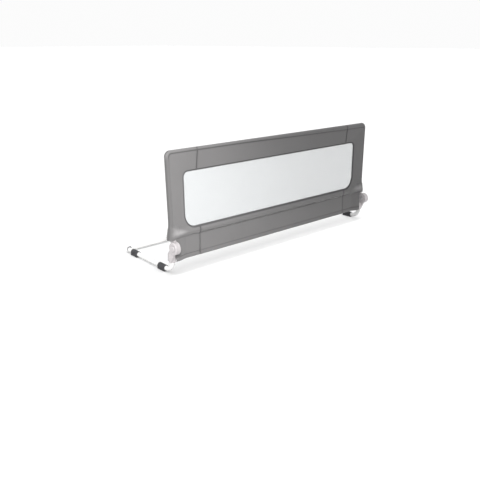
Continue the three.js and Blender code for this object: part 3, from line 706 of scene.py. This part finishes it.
def make_stitches():
    rows_frame, rows_blend = [], []
    for front in (True, False):
        r = edge_row()
        rows_frame.append(on_cover(r[:, 0], r[:, 1], front))
        for s in (-1, 1):
            for off in (-3.2, 3.2):
                z = np.linspace(WIN_Z1 + 9, TOP - 15, 40)
                rows_frame.append(on_cover(np.full(40, s * (TOP_SEAM_X + off)), z, front))
    z = np.linspace(WIN_Z0 - 9, 62, 60)
    for s in (-1, 1):
        for off in (-3.2, 3.2):
            p, n = on_cover(np.full(60, s * (LOWER_SEAM_X + off)), z, True)
            flat = z < 164
            p[flat, 1] = -skirt_y(p[flat, 0]) - 0.1
            n[flat] = (0, -1, 0)
            rows_blend.append((p, n))
    x = np.linspace(-LOWER_SEAM_X + 5, LOWER_SEAM_X - 5, 120)
    p, n = on_cover(x, np.full(120, 169.6), True)
    p[:, 1] += -0.1
    rows_frame.append((p, n))
    x = np.concatenate([np.linspace(-NOTCH_X + 4, -605, 20), np.linspace(-600, 600, 160), np.linspace(605, NOTCH_X - 4, 20)])
    p = np.stack([x, -skirt_y(x) - 0.3, np.full(len(x), 82.6)], 1)
    rows_blend.append((p, np.tile([0, -1.0, 0], (len(x), 1))))
    frame_part = stitches("seam_stitches", rows_frame)
    skirt_part = stitches("skirt_stitches", rows_blend)
    rows = []
    for s in (-1, 1):
        path = window_path(4.2, 16)
        path = np.concatenate([path, path[:1]])
        rows.append((np.stack([path[:, 0], np.full(len(path), s * 4.3), path[:, 1]], 1), np.tile([0, float(s), 0], (len(path), 1))))
    tape_part = stitches("binding_stitches", rows, pitch=4.0, length=2.8, radius=0.28)
    return frame_part, skirt_part, tape_part


# ------------------------------------------------------------------ moulded and steel pieces
def lathe_x(name, profile, y=AXIS_Y, z=AXIS_Z, seg=96, sign=1):
    """Profile of (x, r), from one end on the axis to the other."""
    verts, faces = [], []
    rings = []
    for x, r in profile:
        if r < 1e-6:
            rings.append([len(verts)])
            verts.append((sign * x, y, z))
        else:
            rings.append(list(range(len(verts), len(verts) + seg)))
            for k in range(seg):
                a = 2 * math.pi * k / seg
                verts.append((sign * x, y + r * math.cos(a), z + r * math.sin(a)))
    for a, b in zip(rings, rings[1:]):
        for k in range(seg):
            l = (k + 1) % seg
            if len(a) == 1 and len(b) > 1:
                faces.append((a[0], b[k], b[l]))
            elif len(b) == 1 and len(a) > 1:
                faces.append((a[k], b[0], a[l]))
            elif len(a) > 1:
                faces.append((a[k], b[k], b[l], a[l]))
    obj = new_object(name, verts, faces)
    outward(obj)
    return obj


def outward(obj):
    bm = bmesh.new()
    bm.from_mesh(obj.data)
    bmesh.ops.recalc_face_normals(bm, faces=bm.faces)
    bm.to_mesh(obj.data)
    bm.free()
    return obj


def hull_object(name, points):
    bm = bmesh.new()
    for p in place(points):
        bm.verts.new(p)
    out = bmesh.ops.convex_hull(bm, input=bm.verts)
    bmesh.ops.delete(bm, geom=[g for g in set(out["geom_interior"]) | set(out["geom_unused"]) if isinstance(g, bmesh.types.BMVert)], context="VERTS")
    bmesh.ops.dissolve_limit(bm, angle_limit=math.radians(1.0), verts=bm.verts, edges=bm.edges)
    mesh = bpy.data.meshes.new(name)
    bm.to_mesh(mesh)
    bm.free()
    obj = bpy.data.objects.new(name, mesh)
    bpy.context.scene.collection.objects.link(obj)
    return obj


def ring(n, cy, cz, r):
    return [(cy + r * math.cos(2 * math.pi * k / n), cz + r * math.sin(2 * math.pi * k / n)) for k in range(n)]


def plate(name, outline, x0, x1, soft, sign=1):
    """A flat arm between x0 and x1 with rounded rims, from a convex outline in (y, z)."""
    pts = []
    cy = sum(p[0] for p in outline) / len(outline)
    cz = sum(p[1] for p in outline) / len(outline)
    for x, inset in ((x0, soft), (x0 + 0.3 * soft, 0.3 * soft), (x0 + soft, 0), (x1 - soft, 0), (x1 - 0.3 * soft, 0.3 * soft), (x1, soft)):
        for y, z in outline:
            l = math.hypot(y - cy, z - cz)
            pts.append((sign * x, y - (y - cy) / l * inset, z - (z - cz) / l * inset))
    return hull_object(name, pts)


def union(name, parts, cuts=()):
    base = parts[0]
    for other in parts[1:]:
        m = base.modifiers.new("u", "BOOLEAN")
        m.operation, m.solver, m.object = "UNION", "EXACT", other
    for other in cuts:
        m = base.modifiers.new("c", "BOOLEAN")
        m.operation, m.solver, m.object = "DIFFERENCE", "EXACT", other
    bake_modifiers(base)
    for other in list(parts[1:]) + list(cuts):
        mesh = other.data
        bpy.data.objects.remove(other)
        bpy.data.meshes.remove(mesh)
    base.name = name
    base.data.name = name
    bm = bmesh.new()
    bm.from_mesh(base.data)
    bmesh.ops.remove_doubles(bm, verts=bm.verts, dist=1e-5)
    bmesh.ops.dissolve_degenerate(bm, edges=bm.edges, dist=1e-6)
    bm.to_mesh(base.data)
    bm.free()
    return sharpen(base)


def tube_object(name, stations, radius, sides=40, cap=True):
    """Stations of (point, direction, radius factor)."""
    verts, faces = [], []
    ref = None
    for p, t, k in stations:
        t = np.asarray(t, float)
        t /= np.linalg.norm(t)
        if ref is None:
            ref = np.cross(t, [0.3, 0.5, 0.8])
        a = ref - t * (ref @ t)
        a /= np.linalg.norm(a)
        ref = a
        b = np.cross(t, a)
        for j in range(sides):
            w = 2 * math.pi * j / sides
            verts.append(np.asarray(p) + radius * k * (a * math.cos(w) + b * math.sin(w)))
    n = len(stations)
    for i in range(n - 1):
        for j in range(sides):
            q, r = i * sides + j, i * sides + (j + 1) % sides
            faces.append((q, r, r + sides, q + sides))
    if cap:
        faces.append(list(range(sides))[::-1])
        faces.append(list(range((n - 1) * sides, n * sides)))
    obj = new_object(name, verts, faces)
    outward(obj)
    return sharpen(obj, 40)


def bend(corner, f, t, radius, n, ks=None):
    c, f, t = (np.asarray(v, float) for v in (corner, f, t))
    start, centre = c - f * radius, c - f * radius + t * radius
    out = []
    for i in range(n + 1):
        a = 0.5 * math.pi * i / n
        out.append((centre - t * radius * math.cos(a) + f * radius * math.sin(a), f * math.cos(a) + t * math.sin(a), 1.0))
    return out


def straight(p0, p1, n=2, k=1.0):
    p0, p1 = np.asarray(p0, float), np.asarray(p1, float)
    d = p1 - p0
    return [(p0 + d * i / (n - 1), d, k) for i in range(n)]


def foot_pad(name, x0, y0, y1):
    outline = [(-11.6, 0.0), (11.6, 0.0), (12.6, 0.5), (13.4, 1.8), (13.6, 3.0), (13.6, 13.0)]
    outline += [(13.6 * math.cos(a), 15 + 13.6 * math.sin(a)) for a in np.radians(np.linspace(4, 176, 27))]
    outline += [(-13.6, 13.0), (-13.6, 3.0), (-13.4, 1.8), (-12.6, 0.5)]
    ys, grow, lift = [], [], []
    ys += [y0, y0 + 0.4, y0 + 1.2]
    grow += [-1.0, -0.35, 0.0]
    lift += [0.0, 0.0, 0.0]
    y = y0 + 5.0
    while y + 3.2 < y1 - 4.0:
        ys += [y, y + 0.25, y + 1.6, y + 1.85]
        grow += [0, -0.55, -0.55, 0]
        lift += [0, 1.0, 1.0, 0]
        y += 5.2
    ys += [y1 - 1.2, y1 - 0.4, y1]
    grow += [0.0, -0.35, -1.0]
    lift += [0.0, 0.0, 0.0]
    verts, m = [], len(outline)
    for y, g, l in zip(ys, grow, lift):
        for u, v in outline:
            k = 1 + g / 13.6
            uu, vv = u * k, 15 + (v - 15) * k
            if v < 3:
                vv = max(v + l, 0.0)
            verts.append((x0 + uu, y, vv))
    faces = []
    for i in range(len(ys) - 1):
        for j in range(m):
            a, b = i * m + j, i * m + (j + 1) % m
            faces.append((a, b, b + m, a + m))
    for i in (0, len(ys) - 1):
        faces.append([i * m + j for j in range(m)])
    obj = new_object(name, verts, faces)
    outward(obj)
    return sharpen(obj, 35)


# ------------------------------------------------------------------ materials
class Nodes:
    def __init__(self, name):
        self.mat = bpy.data.materials.new(name)
        self.mat.use_nodes = True
        self.tree = self.mat.node_tree
        self.tree.nodes.clear()
        self.out = self.tree.nodes.new("ShaderNodeOutputMaterial")
        self.bsdf = self.tree.nodes.new("ShaderNodeBsdfPrincipled")
        self.tree.links.new(self.bsdf.outputs["BSDF"], self.out.inputs["Surface"])

    def node(self, kind, **values):
        n = self.tree.nodes.new(kind)
        for k, v in values.items():
            if k in n.inputs:
                n.inputs[k].default_value = v
            else:
                setattr(n, k, v)
        return n

    def link(self, a, b):
        self.tree.links.new(a, b)

    def math(self, op, a, b=None, c=None, clamp=False):
        n = self.tree.nodes.new("ShaderNodeMath")
        n.operation, n.use_clamp = op, clamp
        for i, v in enumerate((a, b, c)):
            if v is None:
                continue
            if isinstance(v, (int, float)):
                n.inputs[i].default_value = v
            else:
                self.link(v, n.inputs[i])
        return n.outputs[0]

    def mix(self, fac, a, b, mode="MIX"):
        n = self.tree.nodes.new("ShaderNodeMix")
        n.data_type, n.blend_type = "RGBA", mode
        for sock, v in ((n.inputs[0], fac), (n.inputs[6], a), (n.inputs[7], b)):
            if isinstance(v, (int, float)):
                sock.default_value = v
            elif isinstance(v, tuple):
                sock.default_value = (*v, 1.0) if len(v) == 3 else v
            else:
                self.link(v, sock)
        return n.outputs[2]

    def noise(self, vector, scale, detail=2.0, rough=0.5):
        n = self.node("ShaderNodeTexNoise", Scale=scale, Detail=detail, Roughness=rough)
        self.link(vector, n.inputs["Vector"])
        return n.outputs["Fac"]

    def bump(self, height, strength, distance, normal=None):
        n = self.node("ShaderNodeBump", Strength=strength, Distance=distance)
        self.link(height, n.inputs["Height"])
        if normal is not None:
            self.link(normal, n.inputs["Normal"])
        return n.outputs["Normal"]

    def socket(self, **values):
        for k, v in values.items():
            self.bsdf.inputs[k.replace("_", " ")].default_value = v


def woven(m, vector, pitch):
    """Height of a plain weave over the given coordinates."""
    sep = m.node("ShaderNodeSeparateXYZ")
    m.link(vector, sep.inputs[0])
    u = m.math("MULTIPLY", sep.outputs[0], math.pi / pitch)
    v = m.math("MULTIPLY", sep.outputs[1], math.pi / pitch)
    su, sv = m.math("SINE", u), m.math("SINE", v)
    au, av = m.math("ABSOLUTE", su), m.math("ABSOLUTE", sv)
    side = m.math("MULTIPLY", su, sv)
    over_ = m.math("GREATER_THAN", side, 0.0)
    warp = m.math("MULTIPLY", au, m.math("ADD", m.math("MULTIPLY", over_, 0.5), 0.5))
    weft = m.math("MULTIPLY", av, m.math("SUBTRACT", 1.0, m.math("MULTIPLY", over_, 0.5)))
    return m.math("MAXIMUM", warp, weft)


def cloth_material(name, colour, pitch=0.0011, contrast=0.06, seam=True, sheen=0.25, bump=0.3):
    m = Nodes(name)
    uv = m.node("ShaderNodeUVMap", uv_map="cloth").outputs["UV"]
    coord = m.node("ShaderNodeTexCoord").outputs["Object"]
    weave = woven(m, uv, pitch)
    broad = m.noise(coord, 5.0, 3.0)
    blotch = m.noise(coord, 38.0, 3.0)
    fibre = m.noise(uv, 1400.0, 2.0)
    dark = tuple(c * (1 - contrast) for c in colour)
    light = tuple(min(1, c * (1 + contrast)) for c in colour)
    tone = m.math("ADD", m.math("MULTIPLY", broad, 0.55), m.math("ADD", m.math("MULTIPLY", blotch, 0.25), m.math("MULTIPLY", fibre, 0.2)))
    col = m.mix(m.math("MULTIPLY_ADD", tone, 2.2, -0.6, clamp=True), dark, light)
    col = m.mix(m.math("MULTIPLY", m.math("SUBTRACT", 1.0, weave), 0.30), col, tuple(c * 0.45 for c in colour))
    if seam:
        # Painted shade from the seam attribute: much darker in grooves, creases and folds, and along rounded edges.
        attr = m.node("ShaderNodeAttribute", attribute_name="seam")
        col = m.mix(m.math("MULTIPLY", attr.outputs["Fac"], 0.80), col, tuple(c * 0.22 for c in colour))
        # Painted highlight: lighter where the cloth bulges over the socket, standing in for its lit top.
        painted_highlight = m.node("ShaderNodeAttribute", attribute_name="painted_highlight")
        col = m.mix(m.math("MULTIPLY", painted_highlight.outputs["Fac"], 0.62), col, tuple(min(1, c * 2.0) for c in colour))
    m.link(col, m.bsdf.inputs["Base Color"])
    m.link(m.math("MULTIPLY_ADD", fibre, 0.12, 0.80), m.bsdf.inputs["Roughness"])
    m.socket(Sheen_Weight=sheen, Sheen_Roughness=0.45, Specular_IOR_Level=0.25)
    n = m.bump(weave, bump, 0.00035)
    n = m.bump(blotch, 0.12, 0.0012, n)
    m.link(n, m.bsdf.inputs["Normal"])
    return m.mat


def thread_material(name, colour):
    m = Nodes(name)
    coord = m.node("ShaderNodeTexCoord").outputs["Object"]
    fibre = m.noise(coord, 2600.0, 2.0)
    m.link(m.mix(fibre, tuple(c * 0.7 for c in colour), colour), m.bsdf.inputs["Base Color"])
    m.socket(Roughness=0.7, Sheen_Weight=0.2)
    m.link(m.bump(fibre, 0.4, 0.0002), m.bsdf.inputs["Normal"])
    return m.mat


def net_material(name):
    m = Nodes(name)
    uv = m.node("ShaderNodeUVMap", uv_map="cloth").outputs["UV"]
    sep = m.node("ShaderNodeSeparateXYZ")
    m.link(uv, sep.inputs[0])
    p = 0.0019
    # Diamond net: two crossing sets of fine threads.
    a = m.math("ADD", sep.outputs[0], m.math("MULTIPLY", sep.outputs[1], 0.62))
    b = m.math("SUBTRACT", sep.outputs[0], m.math("MULTIPLY", sep.outputs[1], 0.62))
    sa = m.math("ABSOLUTE", m.math("SINE", m.math("MULTIPLY", a, math.pi / p)))
    sb = m.math("ABSOLUTE", m.math("SINE", m.math("MULTIPLY", b, math.pi / p)))
    thread = m.math("MINIMUM", sa, sb)
    cover = m.node("ShaderNodeMapRange", interpolation_type="SMOOTHSTEP")
    m.link(thread, cover.inputs["Value"])
    cover.inputs["From Min"].default_value = 0.12
    cover.inputs["From Max"].default_value = 0.42
    cover.inputs["To Min"].default_value = NET[0]
    cover.inputs["To Max"].default_value = NET[1]
    m.link(cover.outputs["Result"], m.bsdf.inputs["Alpha"])
    coord = m.node("ShaderNodeTexCoord").outputs["Object"]
    tone = m.noise(coord, 24.0, 2.0)
    m.link(m.mix(tone, (0.41, 0.43, 0.44), (0.45, 0.475, 0.485)), m.bsdf.inputs["Base Color"])
    m.socket(Roughness=0.75, Sheen_Weight=0.1)
    m.mat.surface_render_method = "BLENDED"
    return m.mat


def plastic_material(name, colour, rough=0.38, grain=0.25, spec=0.5):
    m = Nodes(name)
    coord = m.node("ShaderNodeTexCoord").outputs["Object"]
    broad = m.noise(coord, 30.0, 3.0)
    fine = m.noise(coord, 1800.0, 2.0)
    scuff = m.noise(coord, 140.0, 5.0, 0.7)
    col = m.mix(broad, tuple(c * 0.96 for c in colour), tuple(min(1, c * 1.03) for c in colour))
    mark = m.math("MULTIPLY_ADD", scuff, 9.0, -6.1, clamp=True)
    col = m.mix(m.math("MULTIPLY", mark, 0.22), col, tuple(c * 0.78 for c in colour))
    m.link(col, m.bsdf.inputs["Base Color"])
    m.link(m.math("MULTIPLY_ADD", scuff, 0.22, rough - 0.1), m.bsdf.inputs["Roughness"])
    m.socket(Specular_IOR_Level=spec)
    n = m.bump(fine, grain, 0.00006)
    m.link(n, m.bsdf.inputs["Normal"])
    return m.mat


def paint_material(name, colour):
    m = Nodes(name)
    coord = m.node("ShaderNodeTexCoord").outputs["Object"]
    peel = m.noise(coord, 620.0, 2.0)
    broad = m.noise(coord, 11.0, 3.0)
    rub = m.noise(coord, 60.0, 6.0, 0.75)
    col = m.mix(broad, tuple(c * 0.95 for c in colour), tuple(min(1, c * 1.04) for c in colour))
    mark = m.math("MULTIPLY_ADD", rub, 10.0, -7.0, clamp=True)
    col = m.mix(m.math("MULTIPLY", mark, 0.30), col, tuple(c * 0.6 for c in colour))
    m.link(col, m.bsdf.inputs["Base Color"])
    m.link(m.math("MULTIPLY_ADD", rub, 0.25, 0.27), m.bsdf.inputs["Roughness"])
    m.socket(Specular_IOR_Level=0.5, Coat_Weight=0.08)
    m.link(m.bump(peel, 0.18, 0.00012), m.bsdf.inputs["Normal"])
    return m.mat


def zinc_material(name):
    m = Nodes(name)
    coord = m.node("ShaderNodeTexCoord").outputs["Object"]
    grain = m.noise(coord, 900.0, 3.0)
    broad = m.noise(coord, 90.0, 3.0)
    m.link(m.mix(broad, (0.52, 0.53, 0.55), (0.70, 0.71, 0.72)), m.bsdf.inputs["Base Color"])
    m.link(m.math("MULTIPLY_ADD", grain, 0.25, 0.22), m.bsdf.inputs["Roughness"])
    m.socket(Metallic=1.0)
    m.link(m.bump(grain, 0.12, 0.00008), m.bsdf.inputs["Normal"])
    return m.mat


def rubber_material(name, colour):
    m = Nodes(name)
    coord = m.node("ShaderNodeTexCoord").outputs["Object"]
    grain = m.noise(coord, 1300.0, 2.0)
    dust = m.noise(coord, 45.0, 5.0, 0.7)
    col = m.mix(m.math("MULTIPLY_ADD", dust, 3.0, -1.2, clamp=True), colour, tuple(c * 1.7 + 0.01 for c in colour))
    m.link(col, m.bsdf.inputs["Base Color"])
    m.link(m.math("MULTIPLY_ADD", dust, 0.25, 0.62), m.bsdf.inputs["Roughness"])
    m.socket(Specular_IOR_Level=0.35)
    m.link(m.bump(grain, 0.5, 0.0002), m.bsdf.inputs["Normal"])
    return m.mat


GREY = (0.167, 0.164, 0.1645)
NET = (0.62, 0.20)
cloth = cloth_material("grey_polyester", GREY)
tape = cloth_material("dark_binding_tape", (0.088, 0.086, 0.088), pitch=0.0009, seam=False, sheen=0.15)
thread = thread_material("grey_thread", (0.10, 0.098, 0.10))
net = net_material("sheer_net")
white_plastic = plastic_material("white_moulded_plastic", (0.385, 0.366, 0.372), rough=0.36)
button_plastic = plastic_material("pale_grey_button_plastic", (0.385, 0.368, 0.374), rough=0.42)
grey_plastic = plastic_material("grey_moulded_plastic", (0.19, 0.19, 0.195), rough=0.45)
steel = paint_material("pale_grey_powder_coat", (0.60, 0.60, 0.595))
zinc = zinc_material("bright_zinc")
rubber = rubber_material("dark_rubber", (0.028, 0.028, 0.030))


def finish(obj, material, body=None, nodes=()):
    obj.data.materials.clear()
    obj.data.materials.append(material)
    if nodes:
        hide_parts(*nodes)
    if body:
        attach(obj, body)
    return obj


# ------------------------------------------------------------------ fabric pieces
for side, sign in (("right", 1), ("left", -1)):
    o = make_side(sign)
    finish(o, cloth, None, [f"cover_side_{side}", f"side_flap_upper_{side}", f"side_flap_lower_{side}"])
    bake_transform(o)
top = finish(make_top(), cloth, "guard_frame", ["cover_top_band"])
lower = finish(make_lower(), cloth, "guard_frame", ["cover_lower_band"])
skirt = finish(make_skirt(), cloth, None, ["skirt_upper", "skirt_lower"])
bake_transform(skirt)
channel = finish(make_hem_sleeve(), cloth, "base")
binding = finish(make_binding(), tape, "guard_frame", ["window_binding"])
window = finish(make_net(), net, "guard_frame", ["window_mesh"])
seam_thread, skirt_thread, tape_thread = make_stitches()
finish(seam_thread, thread, "guard_frame")
finish(tape_thread, thread, "guard_frame")
finish(skirt_thread, thread)
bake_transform(skirt_thread)


# ------------------------------------------------------------------ hinges
hinge_halves = []
for side, s in (("right", 1), ("left", -1)):
    disc = lathe_x("a", [(660.0, 0), (660.0, 20.5), (660.4, 21.2), (660.4, 23.0), (660.0, 23.7), (660.0, 26.8), (660.25, 27.7), (660.8, 28.4), (661.7, 28.85), (662.8, 29.0), (670.9, 29.0), (671.5, 28.7), (671.85, 28.1), (671.85, 0)], sign=s)
    arm = plate("b", ring(48, AXIS_Y, AXIS_Z, 24) + [(-15, 163.5), (15, 163.5)], 660.1, 671.75, 1.2, sign=s)
    boss = hull_object("c", [(s * (x + dx), y, z) for z, g in ((163.5, 1.2), (164.7, 0), (210.8, 0), (212, 1.2))
                             for (x, y, dx) in [(648 + 9 - (9 - g) * math.cos(a), -15 + 9 - (9 - g) * math.sin(a), 0) for a in np.radians([0, 22, 45, 68, 90])]
                             + [(648 + 9 - (9 - g) * math.cos(a), 15 - 9 + (9 - g) * math.sin(a), 0) for a in np.radians([0, 22, 45, 68, 90])]
                             + [(685 - 9 + (9 - g) * math.cos(a), -15 + 9 - (9 - g) * math.sin(a), 0) for a in np.radians([0, 22, 45, 68, 90])]
                             + [(685 - 9 + (9 - g) * math.cos(a), 15 - 9 + (9 - g) * math.sin(a), 0) for a in np.radians([0, 22, 45, 68, 90])]])
    cone = lathe_x("d", [(570.0, 0), (570.0, 12.9), (570.5, 13.4), (672.3, 18.9), (673.0, 18.2), (673.0, 0)], y=0, z=LOWER_TUBE_Z, seg=56, sign=s)
    upper = union(f"hinge_upper_{side}", [disc, arm, boss, cone])
    finish(upper, white_plastic, "guard_frame", [f"frame_hinge_{side}"])
    hinge_halves.append(upper)

    disc = lathe_x("e", [(672.15, 0), (672.15, 28.2), (672.5, 28.7), (673.1, 29.0), (683.3, 29.0), (684.5, 28.8), (685.6, 28.2), (686.4, 27.3), (686.9, 26.2), (687.0, 25.0), (687.0, 18.0), (686.85, 17.3), (686.4, 16.7), (685.9, 16.2), (685.75, 15.6), (685.75, 14.9), (685.6, 14.45), (685.2, 14.2), (678.6, 14.2), (678.6, 0)], sign=s)
    arm = plate("f", ring(48, AXIS_Y, AXIS_Z, 17) + [(-11, 62), (15.5, 62), (15.5, 96)], 672.25, 683.6, 1.4, sign=s)
    sock = [(p, (0, 0, 1), k) for p, k in (((s * 669, 0, 58.0), 14.3 / 15.5), ((s * 669, 0, 58.4), 15.1 / 15.5), ((s * 669, 0, 59.4), 1.0), ((s * 669, 0, 96.6), 1.0), ((s * 669, 0, 97.6), 15.1 / 15.5), ((s * 669, 0, 98.0), 14.3 / 15.5))]
    socket = tube_object("g", sock, 15.5, 56)
    barsock = lathe_x("h", [(639.0, 0), (639.0, 9.6), (639.3, 10.2), (639.9, 10.5), (659.0, 10.5), (659.0, 0)], y=9.5, z=72.0, seg=48, sign=s)
    recess = lathe_x("i", [(678.6, 0), (678.6, 14.2), (689.0, 14.2), (689.0, 0)], sign=s)
    lower_half = union(f"hinge_lower_{side}", [disc, arm, socket, barsock], [recess])
    finish(lower_half, white_plastic, "base", [f"base_hinge_{side}"])
    hinge_halves.append(lower_half)

    button = lathe_x(f"hinge_button_{side}", [(687.2, 0), (687.2, 10.9), (686.9, 11.2), (683.9, 11.4), (683.6, 11.7), (683.6, 13.3), (683.9, 13.7), (686.6, 13.7), (687.5, 13.55), (688.4, 13.1), (689.2, 12.3), (689.75, 11.2), (689.95, 10.0), (689.85, 8.6), (689.4, 6.0), (689.15, 3.0), (689.1, 0)], sign=s)
    sharpen(button, 50)
    finish(button, button_plastic, f"release_button_{side}", [f"release_button_{side}"])

    # The spring behind the lock gear, which shortens as the gear slides in; it is built here at one length.
    coil, lead = [], (674.1 - 663.9 - 1.3) / 4
    for i in range(4 * 28 + 1):
        a = 2 * math.pi * i / 28
        along = np.array([s * lead / (2 * math.pi), -7 * math.sin(a), 7 * math.cos(a)])
        coil.append(((s * (664.55 + lead * i / 28), AXIS_Y + 7 * math.cos(a), AXIS_Z + 7 * math.sin(a)), along / np.linalg.norm(along), 1.0))
    spring = tube_object(f"coil_spring_{side}", coil, 0.65, 8)
    finish(spring, zinc, "guard_frame", [f"lock_spring_{side}"])
    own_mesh(spring)

    # Leg, corner and rear tube.
    x = s * 669.0
    leg = [((x, 0, 91.7), (0, 0, -1), 1.0)] + bend((x, 0, 15), (0, 0, -1), (0, 1, 0), 45, 22) + [((x, 372.7, 15), (0, 1, 0), 1.0)]
    finish(tube_object(f"leg_tube_{side}", leg, 11.0, 40), steel, "base", [f"base_leg_{side}"])
    y = 373.0
    st = [((x, y, 15), (0, 1, 0), 0.97), ((x, y + 0.4, 15), (0, 1, 0), 1.0)] + bend((x, 390, 15), (0, 1, 0), (-s, 0, 0), 17, 16)[1:-1] + [((s * 652.4, 390, 15), (-s, 0, 0), 1.0), ((s * 652.0, 390, 15), (-s, 0, 0), 0.97)]
    finish(tube_object(f"rear_elbow_{side}", st, 11.0, 40), grey_plastic, "base", [f"rear_corner_{side}"])
    st = [((s * 651.7, 390, 15), (-s, 0, 0), 0.97), ((s * 651.2, 390, 15), (-s, 0, 0), 1.0), ((s * 0.7, 390, 15), (-s, 0, 0), 1.0), ((s * 0.25, 390, 15), (-s, 0, 0), 0.96)]
    finish(tube_object(f"rear_bar_{side}", st, 11.0, 40), steel, "base", [f"rear_tube_{side}"])
    for where, y0, y1 in (("front", 50, 105), ("rear", 285, 340)):
        finish(foot_pad(f"foot_saddle_{where}_{side}", x, y0, y1), rubber, "base", [f"foot_pad_{where}_{side}"])

finish(tube_object("hem_bar", straight((-652.7, 9.5, 72), (652.7, 9.5, 72), 2), 8.0, 40), steel, "base", ["front_bar"])

by_slot = {"steel_tube": steel, "zinc_steel": zinc, "hinge_plastic": white_plastic, "grey_plastic": grey_plastic,
           "pad_rubber": rubber, "cover_fabric": cloth, "binding_tape": tape, "window_net": net}
slots = {p["node"]: p["material_slot"] for p in frame["record"]["subparts"]}
for name, node in frame["nodes"].items():
    node.data.materials.clear()
    node.data.materials.append(by_slot[slots[name]])
    if not node.hide_render:
        sharpen(node, 35)

# ------------------------------------------------------------------ stage
def make_stage():
    """A pale stage of two levels, so that the panel has room to fold down in front."""
    e, low = -0.198, -0.34
    pts = [(90.0, 0.0), (e + 0.012, 0.0)]
    pts += [(e + 0.012 - 0.012 * math.sin(a), -0.012 + 0.012 * math.cos(a)) for a in np.radians([22, 45, 68, 90])]
    pts += [(e, low + 0.06)]
    pts += [(e - 0.06 + 0.06 * math.cos(a), low + 0.06 - 0.06 * math.sin(a)) for a in np.radians([15, 30, 45, 60, 75, 90])]
    pts += [(-60.0, low)]
    verts, faces = [], []
    for x in (-60.0, 60.0):
        verts += [(x, y, z) for y, z in pts]
    n = len(pts)
    for i in range(n - 1):
        faces.append((i, i + 1, n + i + 1, n + i))
    o = new_object("stage_floor", verts, faces, metres=True)
    m = Nodes("pale_stage")
    coord = m.node("ShaderNodeTexCoord").outputs["Object"]
    tone = m.noise(coord, 0.8, 2.0)
    m.link(m.mix(tone, (0.865, 0.865, 0.865), (0.885, 0.885, 0.885)), m.bsdf.inputs["Base Color"])
    m.socket(Roughness=0.9, Specular_IOR_Level=0.1)
    o.data.materials.append(m.mat)
    return o


stage = make_stage()


def spot_light(name, at, to, cone, radius, power, colour=(1, 1, 1)):
    """Wide soft light whose edge falls off along the guard."""
    data = bpy.data.lights.new(name, "SPOT")
    data.spot_size, data.spot_blend, data.shadow_soft_size = math.radians(cone), 1.0, radius
    data.energy, data.color = power, colour
    o = bpy.data.objects.new(name, data)
    bpy.context.scene.collection.objects.link(o)
    o.location = at
    o.rotation_euler = (Vector(to) - Vector(at)).to_track_quat("-Z", "Y").to_euler()
    return o


def sun_light(name, direction, strength, spread, colour=(1, 1, 1)):
    data = bpy.data.lights.new(name, "SUN")
    data.energy, data.angle, data.color = strength, math.radians(spread), colour
    o = bpy.data.objects.new(name, data)
    bpy.context.scene.collection.objects.link(o)
    o.rotation_euler = Vector(direction).to_track_quat("-Z", "Y").to_euler()
    return o


key = spot_light("key", (-1.95, -1.95, 1.45), (-0.86, -0.17, 0.30), 43.0, 0.30, 414.0, (1.0, 0.99, 0.985))
sun_light("overhead", (0.05, 0.10, -1.0), 0.85, 50.0)
# The key is kept off the stage, so that no pool of light lies there.  A low light from the front
# evens out the stage's step and reaches the far hinge, which the key doesn't.
kept_off = bpy.data.collections.new("kept_off_key")
kept_off.objects.link(stage)
key.light_linking.receiver_collection = kept_off
kept_off.collection_objects[0].light_linking.link_state = "EXCLUDE"
step = sun_light("step", (0.0, 0.97, -0.26), 1.8, 20.0)
step.data.use_shadow = False
reached = bpy.data.collections.new("reached_by_step")
for o in [stage] + hinge_halves[:2]:
    reached.objects.link(o)
step.light_linking.receiver_collection = reached


def make_world():
    """A bright backdrop behind the guard, and a dimmer room in front of it."""
    world = bpy.data.worlds.new("studio")
    world.use_nodes = True
    tree = world.node_tree
    back = tree.nodes["Background"]
    coord = tree.nodes.new("ShaderNodeTexCoord")
    sep = tree.nodes.new("ShaderNodeSeparateXYZ")
    tree.links.new(coord.outputs["Generated"], sep.inputs[0])
    ramp = tree.nodes.new("ShaderNodeMapRange")
    ramp.interpolation_type = "SMOOTHSTEP"
    ramp.inputs["From Min"].default_value, ramp.inputs["From Max"].default_value = -0.80, -0.40
    ramp.inputs["To Min"].default_value, ramp.inputs["To Max"].default_value = ROOM, BACKDROP
    tree.links.new(sep.outputs[1], ramp.inputs["Value"])
    tree.links.new(ramp.outputs["Result"], back.inputs["Strength"])
    back.inputs["Color"].default_value = (1.0, 1.0, 1.0, 1)
    bpy.context.scene.world = world


ROOM, BACKDROP = 0.12, 0.97
make_world()
bpy.context.scene.view_settings.view_transform = "Standard"
